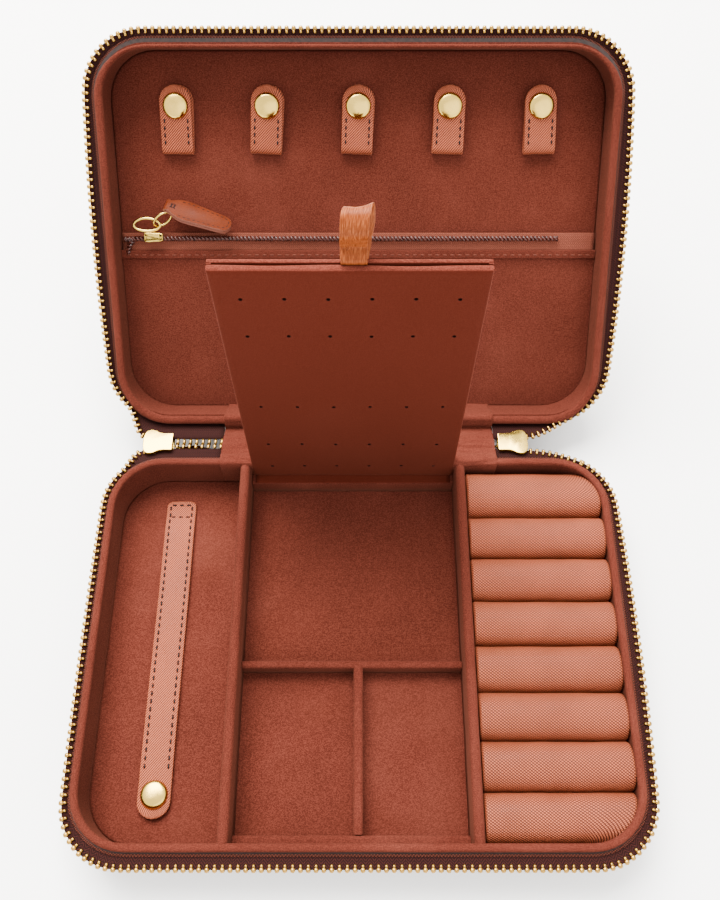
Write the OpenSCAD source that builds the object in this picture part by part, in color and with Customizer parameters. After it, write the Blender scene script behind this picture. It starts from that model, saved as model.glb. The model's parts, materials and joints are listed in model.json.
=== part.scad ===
// Zip-round jewellery case: a leather tray with a hinged lid, an upright earring panel,
// ring rolls, a snap strap, five snap tabs and a zipped pocket. Drawn fully open.
// X is the width, +Y the back, +Z up; the origin is the middle of the tray's underside.

/* [Tray] */
// Inside width of the tray and of the lid
inner_w = 210; // [200:1:220]
// Inside depth of the tray and of the lid, front to back
inner_d = 153; // [148:1:156]
// Radius of the inside corners in plan
corner_r = 20; // [17:1:23]
// Height of the tray's rim above the table
tray_h = 24.9; // [24:0.1:27]
// Height of the suede floor above the table
floor_z = 5; // [4.6:0.1:5.2]

/* [Shell] */
// Thickness of the suede lining on the walls
lining_t = 1; // [0.8:0.1:1.2]
// Thickness of the stiff board in the walls
board_t = 1.5; // [1.2:0.1:1.8]
// Thickness of the leather cover
leather_t = 1.1; // [0.8:0.1:1.3]
// Width of the suede rim on top of the walls
rim_w = 3; // [2.6:0.1:3.2]

/* [Lid] */
// Depth from the lid's rim down to its lining
lid_depth = 19; // [18:0.5:22]
// Thickness of the foam under the leather of the lid's top
foam_t = 3.5; // [2:0.5:4]
// Angle of the open lid above the horizontal
lid_rest = 44.16; // [42:0.02:50]
// Distance of the hinge line behind the tray's inner back wall
hinge_out = 11.5; // [11:0.1:13]
// Depth of the hinge line below the tray's rim
hinge_drop = 5.7; // [5:0.1:6.5]
// Gap between the two rims when the case is closed
rim_gap = 0.5; // [0.4:0.1:1]

/* [Zip] */
// Width of each row of zip teeth
teeth_w = 3; // [2.6:0.1:3.2]
// Height of each row of zip teeth
teeth_h = 2.4; // [2:0.1:2.5]
// Reach of the teeth beyond the inner wall at the sides
teeth_side = 6; // [5.5:0.1:7]
// Reach of the teeth beyond the inner wall at the front
teeth_front = 9.5; // [8:0.1:10]

/* [Dividers] */
// Middle of the left tall divider
divider_left_x = -49.4; // [-52:0.1:-48]
// Middle of the right tall divider
divider_right_x = 44.3; // [43:0.1:46]
// Thickness of the tall dividers
divider_t = 4.2; // [3.5:0.1:4.5]
// Height of the low dividers and ledges above the floor
low_h = 9.2; // [8:0.1:9.6]
// Middle of the low cross divider
cross_y = -8.9; // [-20:0.1:5]

/* [Earring panel] */
// Length of the panel from its hinge line to its top edge
panel_l = 141.9; // [136:0.1:143]
// Angle that the panel leans back from upright
panel_lean = 1.6; // [1:0.1:2]
// Diameter of the earring holes
hole_d = 1.4; // [1:0.1:2]

/* [Ring rolls] */
// Diameter of a ring roll
roll_d = 18.4; // [18:0.1:18.5]

/* [Strap and tabs] */
// Middle of the strap
strap_x = -79; // [-84:0.5:-74]
// Width of the strap
strap_w = 14; // [12:0.5:16]
// Width of a lid tab
tab_w = 15; // [12:0.5:16]
// Distance between two lid tabs
tab_pitch = 38.4; // [34:0.1:39]
// Diameter of the snap caps
cap_d = 10.4; // [9:0.1:11]

/* [Hidden] */
$fn = 64;

suede = "#9a4630";
saffiano = "#b0694c";
leather = "#a5552f";
cord_board = "#8a7a62";
foam_colour = "#d8cfc0";
tape_colour = "#3a1c14";
brass = "#d9b45a";
satin = "#c9783f";

gap = 0.3;
bite = 1;
wall_t = lining_t + board_t + leather_t;
board_floor_t = 2.5;
floor_lining_t = floor_z - leather_t - board_floor_t;
inner_y = inner_d / 2;
rim_t = 1.9;
rim_step = 0.8;
shell_drop = rim_t + rim_step;
tape_t = rim_step;
teeth_drop = 0.1;
teeth_back = 3.6;
teeth_corner = 5;
teeth_r = corner_r + teeth_corner;
back_open = 97;

axis_y = inner_y + hinge_out;
axis_z = tray_h - hinge_drop;
lid_s = hinge_out;
lid_n = -(hinge_drop + rim_gap);
base_dir = 180 - atan(hinge_drop / hinge_out);
lid_dir = lid_rest - atan((hinge_drop + rim_gap) / hinge_out);
spine_tilt = (base_dir + lid_dir) / 2 - 90;

comp_left = divider_left_x + divider_t / 2;
comp_right = divider_right_x - divider_t / 2;
low_top = floor_z + low_h;

// ---- plan outlines ----

// A rectangle with round corners, centred on the origin
module rounded(w, d, r) {
  square([w - 2 * r, d], center = true);
  square([w, d - 2 * r], center = true);
  for (sx = [-1, 1])
    for (sy = [-1, 1])
      translate([sx * (w / 2 - r), sy * (d / 2 - r)])
        circle(r);
}

// The inside outline grown by g
module outline(g) {
  rounded(inner_w + 2 * g, inner_d + 2 * g, corner_r + g);
}

// The line of the zip teeth grown by g
module zip_outline(g) {
  front = inner_y + teeth_front + g;
  back = inner_y + teeth_back + g;
  translate([0, (back - front) / 2])
    rounded(inner_w + 2 * (teeth_side + g), front + back, teeth_r + g);
}

module ring(outer, inner) {
  difference() {
    outline(outer);
    outline(inner);
  }
}

// The stretch of the back where the sliders and the spine turn
module back_gap() {
  translate([-back_open, 0])
    square([2 * back_open, inner_d]);
}

// ---- one shell for the tray and the lid; its rim's top is at z_top ----

// A tray wall and bottom between two outlines, from z_bottom up to z_top
module shell(g_out, g_in, z_bottom, bottom_t, z_top) {
  difference() {
    translate([0, 0, z_bottom])
      linear_extrude(z_top - z_bottom)
        outline(g_out);
    translate([0, 0, z_bottom + bottom_t])
      linear_extrude(z_top - z_bottom)
        outline(g_in);
  }
}

module rim_shape(z_top) {
  translate([0, 0, z_top - rim_t])
    linear_extrude(rim_t)
      ring(rim_w, 0);
  translate([0, 0, z_top - shell_drop])
    linear_extrude(bite)
      ring(lining_t + board_t, 0);
}

module tape_shape(z_top) {
  translate([0, 0, z_top - shell_drop])
    linear_extrude(tape_t)
      difference() {
        zip_outline(-teeth_w / 2);
        outline(lining_t + board_t);
        back_gap();
      }
}

module teeth_shape(z_top) {
  translate([0, 0, z_top - teeth_drop - teeth_h])
    linear_extrude(teeth_h)
      difference() {
        zip_outline(teeth_w / 2);
        zip_outline(-teeth_w / 2);
        outline(rim_w + gap);
        back_gap();
      }
}

// ---- base tray ----

wall_top = tray_h - shell_drop;

module base_cover() {
  color(leather)
    shell(wall_t, lining_t + board_t, 0, leather_t, wall_top);
}

module base_board() {
  color(cord_board)
    shell(lining_t + board_t, lining_t, leather_t, board_floor_t, wall_top);
}

module base_lining() {
  color(suede)
    shell(lining_t, 0, floor_z - floor_lining_t, floor_lining_t, wall_top);
}

module base_rim() {
  color(suede)
    rim_shape(tray_h);
}

module base_zip_tape() {
  color(tape_colour)
    tape_shape(tray_h);
}

module base_zip_teeth() {
  color(brass)
    teeth_shape(tray_h);
}

module divider(x) {
  top_r = divider_t / 2;
  end_clear = 0.2;
  below_rim = 0.5;
  length = inner_d - 2 * end_clear;
  straight = tray_h - below_rim - floor_z - top_r;
  color(suede)
    translate([x, 0, floor_z]) {
      translate([-top_r, -length / 2, 0])
        cube([divider_t, length, straight]);
      translate([0, length / 2, straight])
        rotate([90, 0, 0])
          cylinder(r = top_r, h = length);
    }
}

module divider_left() {
  divider(divider_left_x);
}

module divider_right() {
  divider(divider_right_x);
}

ledge_front = 4;
ledge_back = 5.4;
cross_t = 3.2;
short_t = 3.8;
short_x = 0;

module low_divider() {
  short_l = cross_y - (-inner_y + ledge_front);
  color(suede)
    union() {
      translate([comp_left, cross_y - cross_t / 2, floor_z])
        cube([comp_right - comp_left, cross_t, low_h]);
      translate([short_x - short_t / 2, cross_y - short_l, floor_z])
        cube([short_t, short_l, low_h]);
    }
}

module ledges() {
  comp_w = comp_right - comp_left;
  color(suede) {
    translate([comp_left, inner_y - ledge_back, floor_z])
      cube([comp_w, ledge_back, low_h]);
    translate([comp_left, -inner_y, floor_z])
      cube([comp_w, ledge_front, low_h]);
  }
}

// ---- ring rolls ----

roll_n = 8;
roll_end_room = 5;
roll_back_room = 4.6;
roll_side_room = 0.5;
roll_pitch = (inner_d - roll_end_room) / roll_n;
roll_first_y = inner_y - roll_back_room - roll_pitch / 2;
roll_x0 = divider_right_x + divider_t / 2 + roll_side_room;

module ring_roll(i) {
  color(saffiano)
    intersection() {
      translate([roll_x0, roll_first_y - (i - 1) * roll_pitch, floor_z + roll_d / 2])
        rotate([0, 90, 0])
          cylinder(d = roll_d, h = inner_w / 2 - roll_x0);
      translate([0, 0, floor_z - bite])
        linear_extrude(tray_h)
          outline(-gap);
    }
}

// ---- strap in the left compartment ----

strap_t = 1.6;
strap_back = 65.5;
strap_seam = 57.5;
strap_front = -66.5;
strap_cap_y = -57.8;
strap_lift = 0.9;
strap_hinge_z = floor_z + strap_lift + strap_t / 2;
strap_stud_d = 8;
cap_h = 2.2;

module strap_end() {
  color(saffiano)
    translate([strap_x - strap_w / 2, strap_seam, floor_z])
      cube([strap_w, strap_back - strap_seam, strap_t]);
}

module strap_stud() {
  color(brass)
    translate([strap_x, strap_cap_y, floor_z])
      cylinder(d = strap_stud_d, h = strap_lift - gap);
}

module strap() {
  root = strap_seam - strap_t / 2 - gap;
  round_y = strap_front + strap_w / 2;
  color(saffiano)
    translate([0, 0, floor_z + strap_lift])
      linear_extrude(strap_t)
        union() {
          translate([strap_x - strap_w / 2, round_y])
            square([strap_w, root - round_y]);
          translate([strap_x, round_y])
            circle(d = strap_w);
        }
}

// A domed snap cap standing on z = 0
module snap_cap() {
  edge_h = 0.7;
  dome_h = cap_h - edge_h;
  dome_r = (pow(cap_d / 2, 2) + pow(dome_h, 2)) / (2 * dome_h);
  intersection() {
    cylinder(d = cap_d, h = cap_h);
    union() {
      cylinder(d = cap_d, h = edge_h);
      translate([0, 0, cap_h - dome_r])
        sphere(dome_r);
    }
  }
}

module strap_cap() {
  color(brass)
    translate([strap_x, strap_cap_y, floor_z + strap_lift + strap_t])
      snap_cap();
}

// ---- earring panel ----

panel_from_wall = 1.9;
panel_left_room = 0.8;
panel_right_room = 0.5;
panel_hinge_y = inner_y - panel_from_wall;
panel_hinge_z = low_top + gap;
panel_x0 = comp_left + panel_left_room;
panel_w = comp_right - panel_right_room - panel_x0;
front_board_t = 3;
back_board_t = 1.6;
slit_t = 0.4;
tongue_t = 1.1;
board_foot = 11;
hole_rows = [9.9, 29.8, 60.3, 107.4, 127.8];
hole_pitch = 14;
hole_n = 6;
panel_mid = panel_x0 + panel_w / 2;

module panel_place() {
  translate([0, panel_hinge_y, panel_hinge_z])
    rotate([-panel_lean, 0, 0])
      children();
}

module panel_front() {
  color(suede)
    panel_place()
      difference() {
        union() {
          translate([panel_x0, 0, gap])
            cube([panel_w, tongue_t, panel_l - gap]);
          translate([panel_x0, 0, board_foot])
            cube([panel_w, front_board_t, panel_l - board_foot]);
        }
        for (z = hole_rows)
          for (i = [0 : hole_n - 1])
            translate([panel_mid + (i - (hole_n - 1) / 2) * hole_pitch, -bite, z])
              rotate([-90, 0, 0])
                cylinder(d = hole_d, h = front_board_t + 2 * bite);
      }
}

module panel_back() {
  lip = 1.5;
  y0 = front_board_t + slit_t;
  color(suede)
    panel_place() {
      translate([panel_x0, y0, board_foot])
        cube([panel_w, back_board_t, panel_l - board_foot]);
      for (x = [panel_x0, panel_x0 + panel_w - lip])
        translate([x, front_board_t, board_foot])
          cube([lip, slit_t + bite / 2, panel_l - board_foot]);
    }
}

ribbon_x = -1.5;
ribbon_w = 10.5;
ribbon_l = 19;
ribbon_t = 0.9;
ribbon_half = 3;
ribbon_y = front_board_t + slit_t / 2;

// Teardrop outline of the ribbon's loop, seen from the side, with its point at the origin
module teardrop(r, length) {
  rise = length - r;
  touch = acos(r / rise);
  translate([0, rise])
    circle(r);
  polygon([
    [0, 0],
    [r * sin(touch), rise - r * cos(touch)],
    [0, rise],
    [-r * sin(touch), rise - r * cos(touch)]
  ]);
}

module ribbon_loop() {
  root = 0.6;
  foot = 3 * ribbon_t;
  color(satin)
    panel_place()
      translate([ribbon_x + ribbon_w / 2, ribbon_y, panel_l + gap + root])
        rotate([90, 0, -90])
          linear_extrude(ribbon_w)
            difference() {
              teardrop(ribbon_half, ribbon_l);
              translate([0, foot])
                teardrop(ribbon_half - ribbon_t, ribbon_l - ribbon_t - foot);
            }
}

// ---- spine: the strip that bends at the hinge line, drawn about that line ----

spine_half = 60.4;
spine_reach = 6.2;
spine_slack = 0.1;
chain_slit = 1.2;
chain_w = 6;

module spine_place() {
  translate([0, axis_y, axis_z])
    rotate([spine_tilt, 0, 0])
      children();
}

module spine_strip(z0, t) {
  spine_place()
    translate([-spine_half, -spine_reach, z0])
      cube([2 * spine_half, 2 * spine_reach, t]);
}

module spine_cover() {
  color(leather)
    spine_strip(-leather_t - spine_slack, leather_t);
}

module spine_lining() {
  color(suede)
    spine_strip(spine_slack, lining_t);
}

// Two rows of closed teeth between x0 and x1
module zip_chain(x0, x1) {
  row_w = (chain_w - chain_slit) / 2;
  color(brass)
    spine_place()
      for (side = [-1, 1])
        translate([(x0 + x1) / 2, side * (chain_slit + row_w) / 2, 0])
          cube([x1 - x0, row_w, teeth_h], center = true);
}

chain_room = 0.5;
chain_start = spine_half + chain_room;
chain_left_end = 84;
chain_right_end = 73;

module zip_chain_left() {
  zip_chain(-chain_left_end, -chain_start);
}

module zip_chain_right() {
  zip_chain(chain_start, chain_right_end);
}

// ---- main zip sliders ----

slider_l = 13.2;
slider_narrow = 9;
slider_wide = 12.6;
plate_in = 1.6;
plate_t = 0.9;
flange_in = 0.6;
flange_w = 0.9;
post_l = 2.6;
post_t = 0.6;
slider_left_x = -95.8;
slider_right_x = 75.3;
bar_r = 0.6;
bar_out = 4.3;
bar_half = 2.6;
bar_from_mouth = 7.5;
leg_w = 1;

module slider_plan() {
  polygon([
    [0, -slider_wide / 2],
    [slider_l, -slider_narrow / 2],
    [slider_l, slider_narrow / 2],
    [0, slider_wide / 2]
  ]);
}

module slider_channel() {
  polygon([
    [-bite, -slider_wide / 2 + flange_w],
    [slider_l + bite, -slider_narrow / 2 + flange_w],
    [slider_l + bite, slider_narrow / 2 - flange_w],
    [-bite, slider_wide / 2 - flange_w]
  ]);
}

// A slider with its mouth at x = 0, its narrow end at +x and its bail on the outside (-z)
module slider() {
  for (side = [0, 1])
    mirror([0, 0, side])
      difference() {
        translate([0, 0, flange_in])
          linear_extrude(plate_in + plate_t - flange_in)
            slider_plan();
        translate([0, 0, flange_in - bite])
          linear_extrude(plate_in - flange_in + bite)
            slider_channel();
      }
  translate([0, -post_t / 2, -plate_in - plate_t / 2])
    cube([post_l, post_t, 2 * plate_in + plate_t]);
  translate([bar_from_mouth, 0, -bar_out]) {
    rotate([90, 0, 0])
      cylinder(r = bar_r, h = 2 * bar_half, center = true);
    for (side = [-1, 1])
      translate([-bar_r, side * bar_half - leg_w / 2, -bar_r])
        cube([2 * bar_r, leg_w, bar_out - plate_in - plate_t / 2 + bar_r]);
  }
}

module slider_left() {
  color(brass)
    spine_place()
      translate([slider_left_x, 0, 0])
        slider();
}

module slider_right() {
  color(brass)
    spine_place()
      translate([slider_right_x, 0, 0])
        mirror([1, 0, 0])
          slider();
}

// ---- pullers: a metal link on the slider's bar, and a leather tab ----

hub_r = 1.5;
hub_hole_r = 0.95;
hub_w = 3;
link_l = 8;
link_w = 4;
link_t = 1.2;
pull_l = 27;
pull_w = 9;
pull_end_w = 6.6;
pull_t = 2.4;
puller_drop = 20;

// The link with its hub on the y axis at the origin, pointing along +x
module pull_link() {
  difference() {
    union() {
      rotate([90, 0, 0])
        cylinder(r = hub_r, h = hub_w, center = true);
      translate([0, -hub_w / 2, -link_t / 2])
        cube([link_l / 2, hub_w, link_t]);
      translate([link_l / 2 - bite / 2, -link_w / 2, -link_t / 2])
        cube([link_l / 2 + bite / 2, link_w, link_t]);
    }
    rotate([90, 0, 0])
      cylinder(r = hub_hole_r, h = hub_w + 2 * bite, center = true);
  }
}

module pull_tab() {
  end_r = pull_end_w / 2;
  translate([link_l, 0, -pull_t / 2])
    linear_extrude(pull_t)
      union() {
        polygon([
          [0, -pull_w / 2],
          [pull_l - end_r, -end_r],
          [pull_l - end_r, end_r],
          [0, pull_w / 2]
        ]);
        translate([pull_l - end_r, 0])
          circle(end_r);
      }
}

module puller_left_place() {
  spine_place()
    translate([slider_left_x + bar_from_mouth, 0, -bar_out])
      rotate([0, puller_drop, 0])
        children();
}

module puller_right_place() {
  spine_place()
    translate([slider_right_x - bar_from_mouth, 0, -bar_out])
      rotate([0, -puller_drop, 0])
        mirror([1, 0, 0])
          children();
}

module pull_link_left() {
  color(brass)
    puller_left_place()
      pull_link();
}

module pull_link_right() {
  color(brass)
    puller_right_place()
      pull_link();
}

module pull_tab_left() {
  color(leather)
    puller_left_place()
      pull_tab();
}

module pull_tab_right() {
  color(leather)
    puller_right_place()
      pull_tab();
}

// ---- lid: y runs from the hinge side, z = 0 is the rim, the inside is up ----

module lid_place() {
  translate([0, axis_y, axis_z])
    rotate([lid_rest, 0, 0])
      translate([0, lid_s, lid_n])
        children();
}

// Turns a tray-shaped solid so that its hinge side is at y = 0
module lid_shell() {
  lid_place()
    translate([0, inner_y, 0])
      mirror([0, 1, 0])
        children();
}

lid_board_z = -lid_depth - lining_t;
lid_foam_z = lid_board_z - board_floor_t;
lid_cover_z = lid_foam_z - foam_t;

module lid_cover() {
  color(leather)
    lid_shell()
      shell(wall_t, lining_t + board_t, lid_cover_z - leather_t, leather_t, -shell_drop);
}

module lid_foam() {
  color(foam_colour)
    lid_shell()
      translate([0, 0, lid_cover_z])
        linear_extrude(foam_t)
          outline(lining_t + board_t);
}

module lid_board() {
  color(cord_board)
    lid_shell()
      shell(lining_t + board_t, lining_t, lid_foam_z, board_floor_t, -shell_drop);
}

module lid_lining() {
  color(suede)
    lid_shell()
      shell(lining_t, 0, lid_board_z, lining_t, -shell_drop);
}

module lid_rim() {
  color(suede)
    lid_shell()
      rim_shape(0);
}

module lid_zip_tape() {
  color(tape_colour)
    lid_shell()
      tape_shape(0);
}

module lid_zip_teeth() {
  color(brass)
    lid_shell()
      teeth_shape(0);
}

// ---- lid pocket ----

pocket_gap = 1;
pocket_t = 0.8;
pocket_top = 70;
pocket_tape_t = 0.6;
pocket_tape_room = 1;
pocket_tape_low = 67.5;
pocket_tape_high = 76.5;
coil_s = 74;
coil_r = 1.1;
coil_x0 = -101.5;
coil_x1 = 87.5;
pocket_z = -lid_depth + pocket_gap;
pocket_tape_z = pocket_z + pocket_t;
coil_z = pocket_tape_z + pocket_tape_t + coil_r;

module pocket_panel() {
  color(suede)
    lid_place()
      translate([0, 0, pocket_z])
        linear_extrude(pocket_t)
          intersection() {
            translate([0, inner_y])
              outline(-gap);
            translate([-inner_w / 2, 0])
              square([inner_w, pocket_top]);
          }
}

module pocket_zip_tape() {
  half = inner_w / 2 - pocket_tape_room;
  color(saffiano)
    lid_place()
      translate([-half, pocket_tape_low, pocket_tape_z])
        cube([2 * half, pocket_tape_high - pocket_tape_low, pocket_tape_t]);
}

module pocket_zip_coil() {
  color(tape_colour)
    lid_place()
      translate([coil_x0, coil_s, coil_z])
        rotate([0, 90, 0])
          cylinder(r = coil_r, h = coil_x1 - coil_x0);
}

pslider_x = -95;
pslider_l = 8.5;
pslider_w = 6;
pslider_bottom = pocket_tape_z + pocket_tape_t + gap;
pslider_top = -12;
pbar_x = -90.5;
pbar_z = -13;
pbar_r = 0.6;
pbar_end = 88.4;
plink_s = 83.5;
pull_slant = -14;
pull_grip = 0.9;

module pocket_slider() {
  channel_w = 2 * (coil_r + gap);
  color(brass)
    lid_place() {
      difference() {
        translate([pslider_x, coil_s - pslider_w / 2, pslider_bottom])
          cube([pslider_l, pslider_w, pslider_top - pslider_bottom]);
        translate([pslider_x - bite, coil_s - channel_w / 2, pslider_bottom - bite])
          cube([pslider_l + 2 * bite, channel_w, coil_z + channel_w / 2 - pslider_bottom + bite]);
      }
      translate([pbar_x, coil_s + pslider_w / 2 - bite / 2, pbar_z])
        rotate([-90, 0, 0])
          cylinder(r = pbar_r, h = pbar_end - coil_s - pslider_w / 2);
      translate([pbar_x, pbar_end - bite, pbar_z])
        rotate([-90, 0, 0])
          cylinder(r = 2 * pbar_r, h = bite);
    }
}

module pocket_pull_place() {
  lid_place()
    translate([pbar_x, plink_s, pbar_z])
      children();
}

module pocket_link() {
  color(brass)
    pocket_pull_place()
      pull_link();
}

module pocket_pull() {
  color(leather)
    pocket_pull_place()
      translate([link_l, 0, 0])
        rotate([0, 0, pull_slant])
          translate([pull_grip - link_l, 0, 0])
            pull_tab();
}

// ---- lid tabs: a sewn back layer, a fold and a front layer held by a snap ----

tab_low = 113;
tab_high = 139.3;
tab_cap_s = 130.5;
tab_t = 1.1;
fold_r = 2.35;
tab_stud_d = 6;
tab_z = -lid_depth + 2 * fold_r - tab_t;
tab_n = 5;

function tab_x(i) = (i - (tab_n + 1) / 2) * tab_pitch;

module tab_plan(x, low) {
  translate([x - tab_w / 2, low])
    square([tab_w, tab_high - tab_w / 2 - low]);
  translate([x, tab_high - tab_w / 2])
    circle(d = tab_w);
}

module tab_back(x) {
  translate([0, 0, -lid_depth])
    linear_extrude(tab_t)
      tab_plan(x, tab_low);
  translate([x - tab_w / 2, tab_low, -lid_depth + fold_r])
    rotate([90, 0, 90])
      linear_extrude(tab_w)
        intersection() {
          difference() {
            circle(fold_r);
            circle(fold_r - tab_t);
          }
          translate([-fold_r - bite, -fold_r])
            square([fold_r + bite, 2 * fold_r]);
        }
}

module tab_backs() {
  color(saffiano)
    lid_place()
      for (i = [1 : tab_n])
        tab_back(tab_x(i));
}

module tab_studs() {
  color(brass)
    lid_place()
      for (i = [1 : tab_n])
        translate([tab_x(i), tab_cap_s, -lid_depth + tab_t])
          cylinder(d = tab_stud_d, h = tab_z + lid_depth - tab_t - gap);
}

module tab(i) {
  color(saffiano)
    lid_place()
      translate([0, 0, tab_z])
        linear_extrude(tab_t)
          tab_plan(tab_x(i), tab_low + tab_t / 2 + gap);
}

module tab_cap(i) {
  color(brass)
    lid_place()
      translate([tab_x(i), tab_cap_s, tab_z + tab_t])
        snap_cap();
}

base_cover();
base_board();
base_lining();
base_rim();
base_zip_tape();
base_zip_teeth();
divider_left();
divider_right();
low_divider();
ledges();
ring_roll(1);  // ring_roll_1
ring_roll(2);  // ring_roll_2
ring_roll(3);  // ring_roll_3
ring_roll(4);  // ring_roll_4
ring_roll(5);  // ring_roll_5
ring_roll(6);  // ring_roll_6
ring_roll(7);  // ring_roll_7
ring_roll(8);  // ring_roll_8
strap_end();
strap_stud();
strap();
strap_cap();
panel_front();
panel_back();
ribbon_loop();
spine_cover();
spine_lining();
zip_chain_left();
zip_chain_right();
slider_left();
slider_right();
pull_link_left();
pull_link_right();
pull_tab_left();
pull_tab_right();
lid_cover();
lid_foam();
lid_board();
lid_lining();
lid_rim();
lid_zip_tape();
lid_zip_teeth();
pocket_panel();
pocket_zip_tape();
pocket_zip_coil();
pocket_slider();
pocket_link();
pocket_pull();
tab_backs();
tab_studs();
tab(1);  // tab_1
tab(2);  // tab_2
tab(3);  // tab_3
tab(4);  // tab_4
tab(5);  // tab_5
tab_cap(1);  // tab_cap_1
tab_cap(2);  // tab_cap_2
tab_cap(3);  // tab_cap_3
tab_cap(4);  // tab_cap_4
tab_cap(5);  // tab_cap_5
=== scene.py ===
import math

import bmesh
import bpy
import numpy as np
from mathutils import Matrix, Vector
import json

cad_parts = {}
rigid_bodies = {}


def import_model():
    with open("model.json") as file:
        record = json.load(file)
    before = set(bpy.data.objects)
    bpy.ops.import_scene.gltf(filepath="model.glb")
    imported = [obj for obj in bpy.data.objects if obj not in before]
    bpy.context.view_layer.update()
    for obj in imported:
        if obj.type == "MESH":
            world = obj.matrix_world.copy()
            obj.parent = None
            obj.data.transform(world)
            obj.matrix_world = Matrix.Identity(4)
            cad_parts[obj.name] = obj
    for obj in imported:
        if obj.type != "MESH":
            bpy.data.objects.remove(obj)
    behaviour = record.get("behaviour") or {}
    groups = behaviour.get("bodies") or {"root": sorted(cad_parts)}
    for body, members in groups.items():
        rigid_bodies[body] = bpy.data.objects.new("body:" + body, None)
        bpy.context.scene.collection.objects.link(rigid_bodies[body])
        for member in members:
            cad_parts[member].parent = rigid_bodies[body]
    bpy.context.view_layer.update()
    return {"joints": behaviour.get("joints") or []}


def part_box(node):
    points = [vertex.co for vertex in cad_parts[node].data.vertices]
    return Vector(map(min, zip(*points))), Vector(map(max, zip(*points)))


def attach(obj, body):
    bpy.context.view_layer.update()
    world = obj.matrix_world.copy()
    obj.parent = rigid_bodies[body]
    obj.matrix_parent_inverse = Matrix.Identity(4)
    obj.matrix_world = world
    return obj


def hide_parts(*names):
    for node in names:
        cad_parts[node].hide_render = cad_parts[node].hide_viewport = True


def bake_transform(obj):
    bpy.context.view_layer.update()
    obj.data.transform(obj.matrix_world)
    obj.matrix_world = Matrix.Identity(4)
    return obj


# The looks of a zip-round leather jewellery case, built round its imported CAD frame.
# Lengths in this script are millimetres; MM turns them into Blender's metres.
for leftover in list(bpy.data.objects):
    bpy.data.objects.remove(leftover)
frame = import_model()
MM = 0.001


def box(node):
    """Lowest and highest corner of a CAD node, in millimetres."""
    lo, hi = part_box(node)
    return Vector(lo) / MM, Vector(hi) / MM


joints = {j["name"]: j for j in frame["joints"]}


def joint_at(name):
    return Vector(joints[name]["pos_m"]) / MM


# ---- sizes: read from the frame, or set against the photo ----

LINING_T = 1.0
WALL_T = 3.6
SHELL_DROP = 2.7
CORNER_R = 20.0
HALF_X = box("base_lining")[1].x - LINING_T
HALF_Y = box("base_lining")[1].y - LINING_T
RIM_TOP = box("base_rim")[1].z
FLOOR = box("low_divider")[0].z
AXIS = joint_at("lid_hinge")
LID_REST = math.radians(180 - joints["lid_hinge"]["range_deg"][1])
HINGE_OUT = AXIS.y - HALF_Y
HINGE_DROP = RIM_TOP - AXIS.z
RIM_GAP = 0.5
LID_DEPTH = 19.0
LID_OUT = -27.1
TOOTH_PITCH = 2.8
TEETH_R = 23.0
TEETH_X = HALF_X + 4.0
TEETH_FRONT = -HALF_Y - 7.6
TEETH_BACK = HALF_Y + 3.6
TEETH_Z = -1.9
# how far the open rows bow out at the left and the right
FLARE = {"base": (0.8, 2.6), "lid": (3.2, 3.8)}
LID_FRONT_IN = 1.9
LID_BACK_OUT = 2.2

base_dir = math.pi - math.atan(HINGE_DROP / HINGE_OUT)
lid_dir = LID_REST - math.atan((HINGE_DROP + RIM_GAP) / HINGE_OUT)
SPINE_TILT = (base_dir + lid_dir) / 2 - math.pi / 2


def move(x, y, z):
    return Matrix.Translation((x, y, z))


def turn(angle, axis):
    return Matrix.Rotation(angle, 4, axis)


# Local frames: in TRAY and LID_SHELL z is measured from the rim's top and +y is the hinge side;
# LID has y from the hinge side and z up from the rim; SPINE lies along the hinge line.
TRAY = move(0, 0, RIM_TOP)
LID = move(*AXIS) @ turn(LID_REST, "X") @ move(0, HINGE_OUT, -(HINGE_DROP + RIM_GAP))
LID_SHELL = LID @ move(0, HALF_Y, 0) @ Matrix.Diagonal((1, -1, 1, 1))
SPINE = move(*AXIS) @ turn(SPINE_TILT, "X")
PANEL_LEAN = math.radians(1.6)
PANEL = move(0, joint_at("panel_fold").y, joint_at("panel_fold").z) @ turn(-PANEL_LEAN, "X")


def at(place, x, y, z):
    return place @ Vector((x, y, z))


def local(place, point):
    return place.inverted() @ Vector(point)


# ---- mesh building ----


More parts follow.
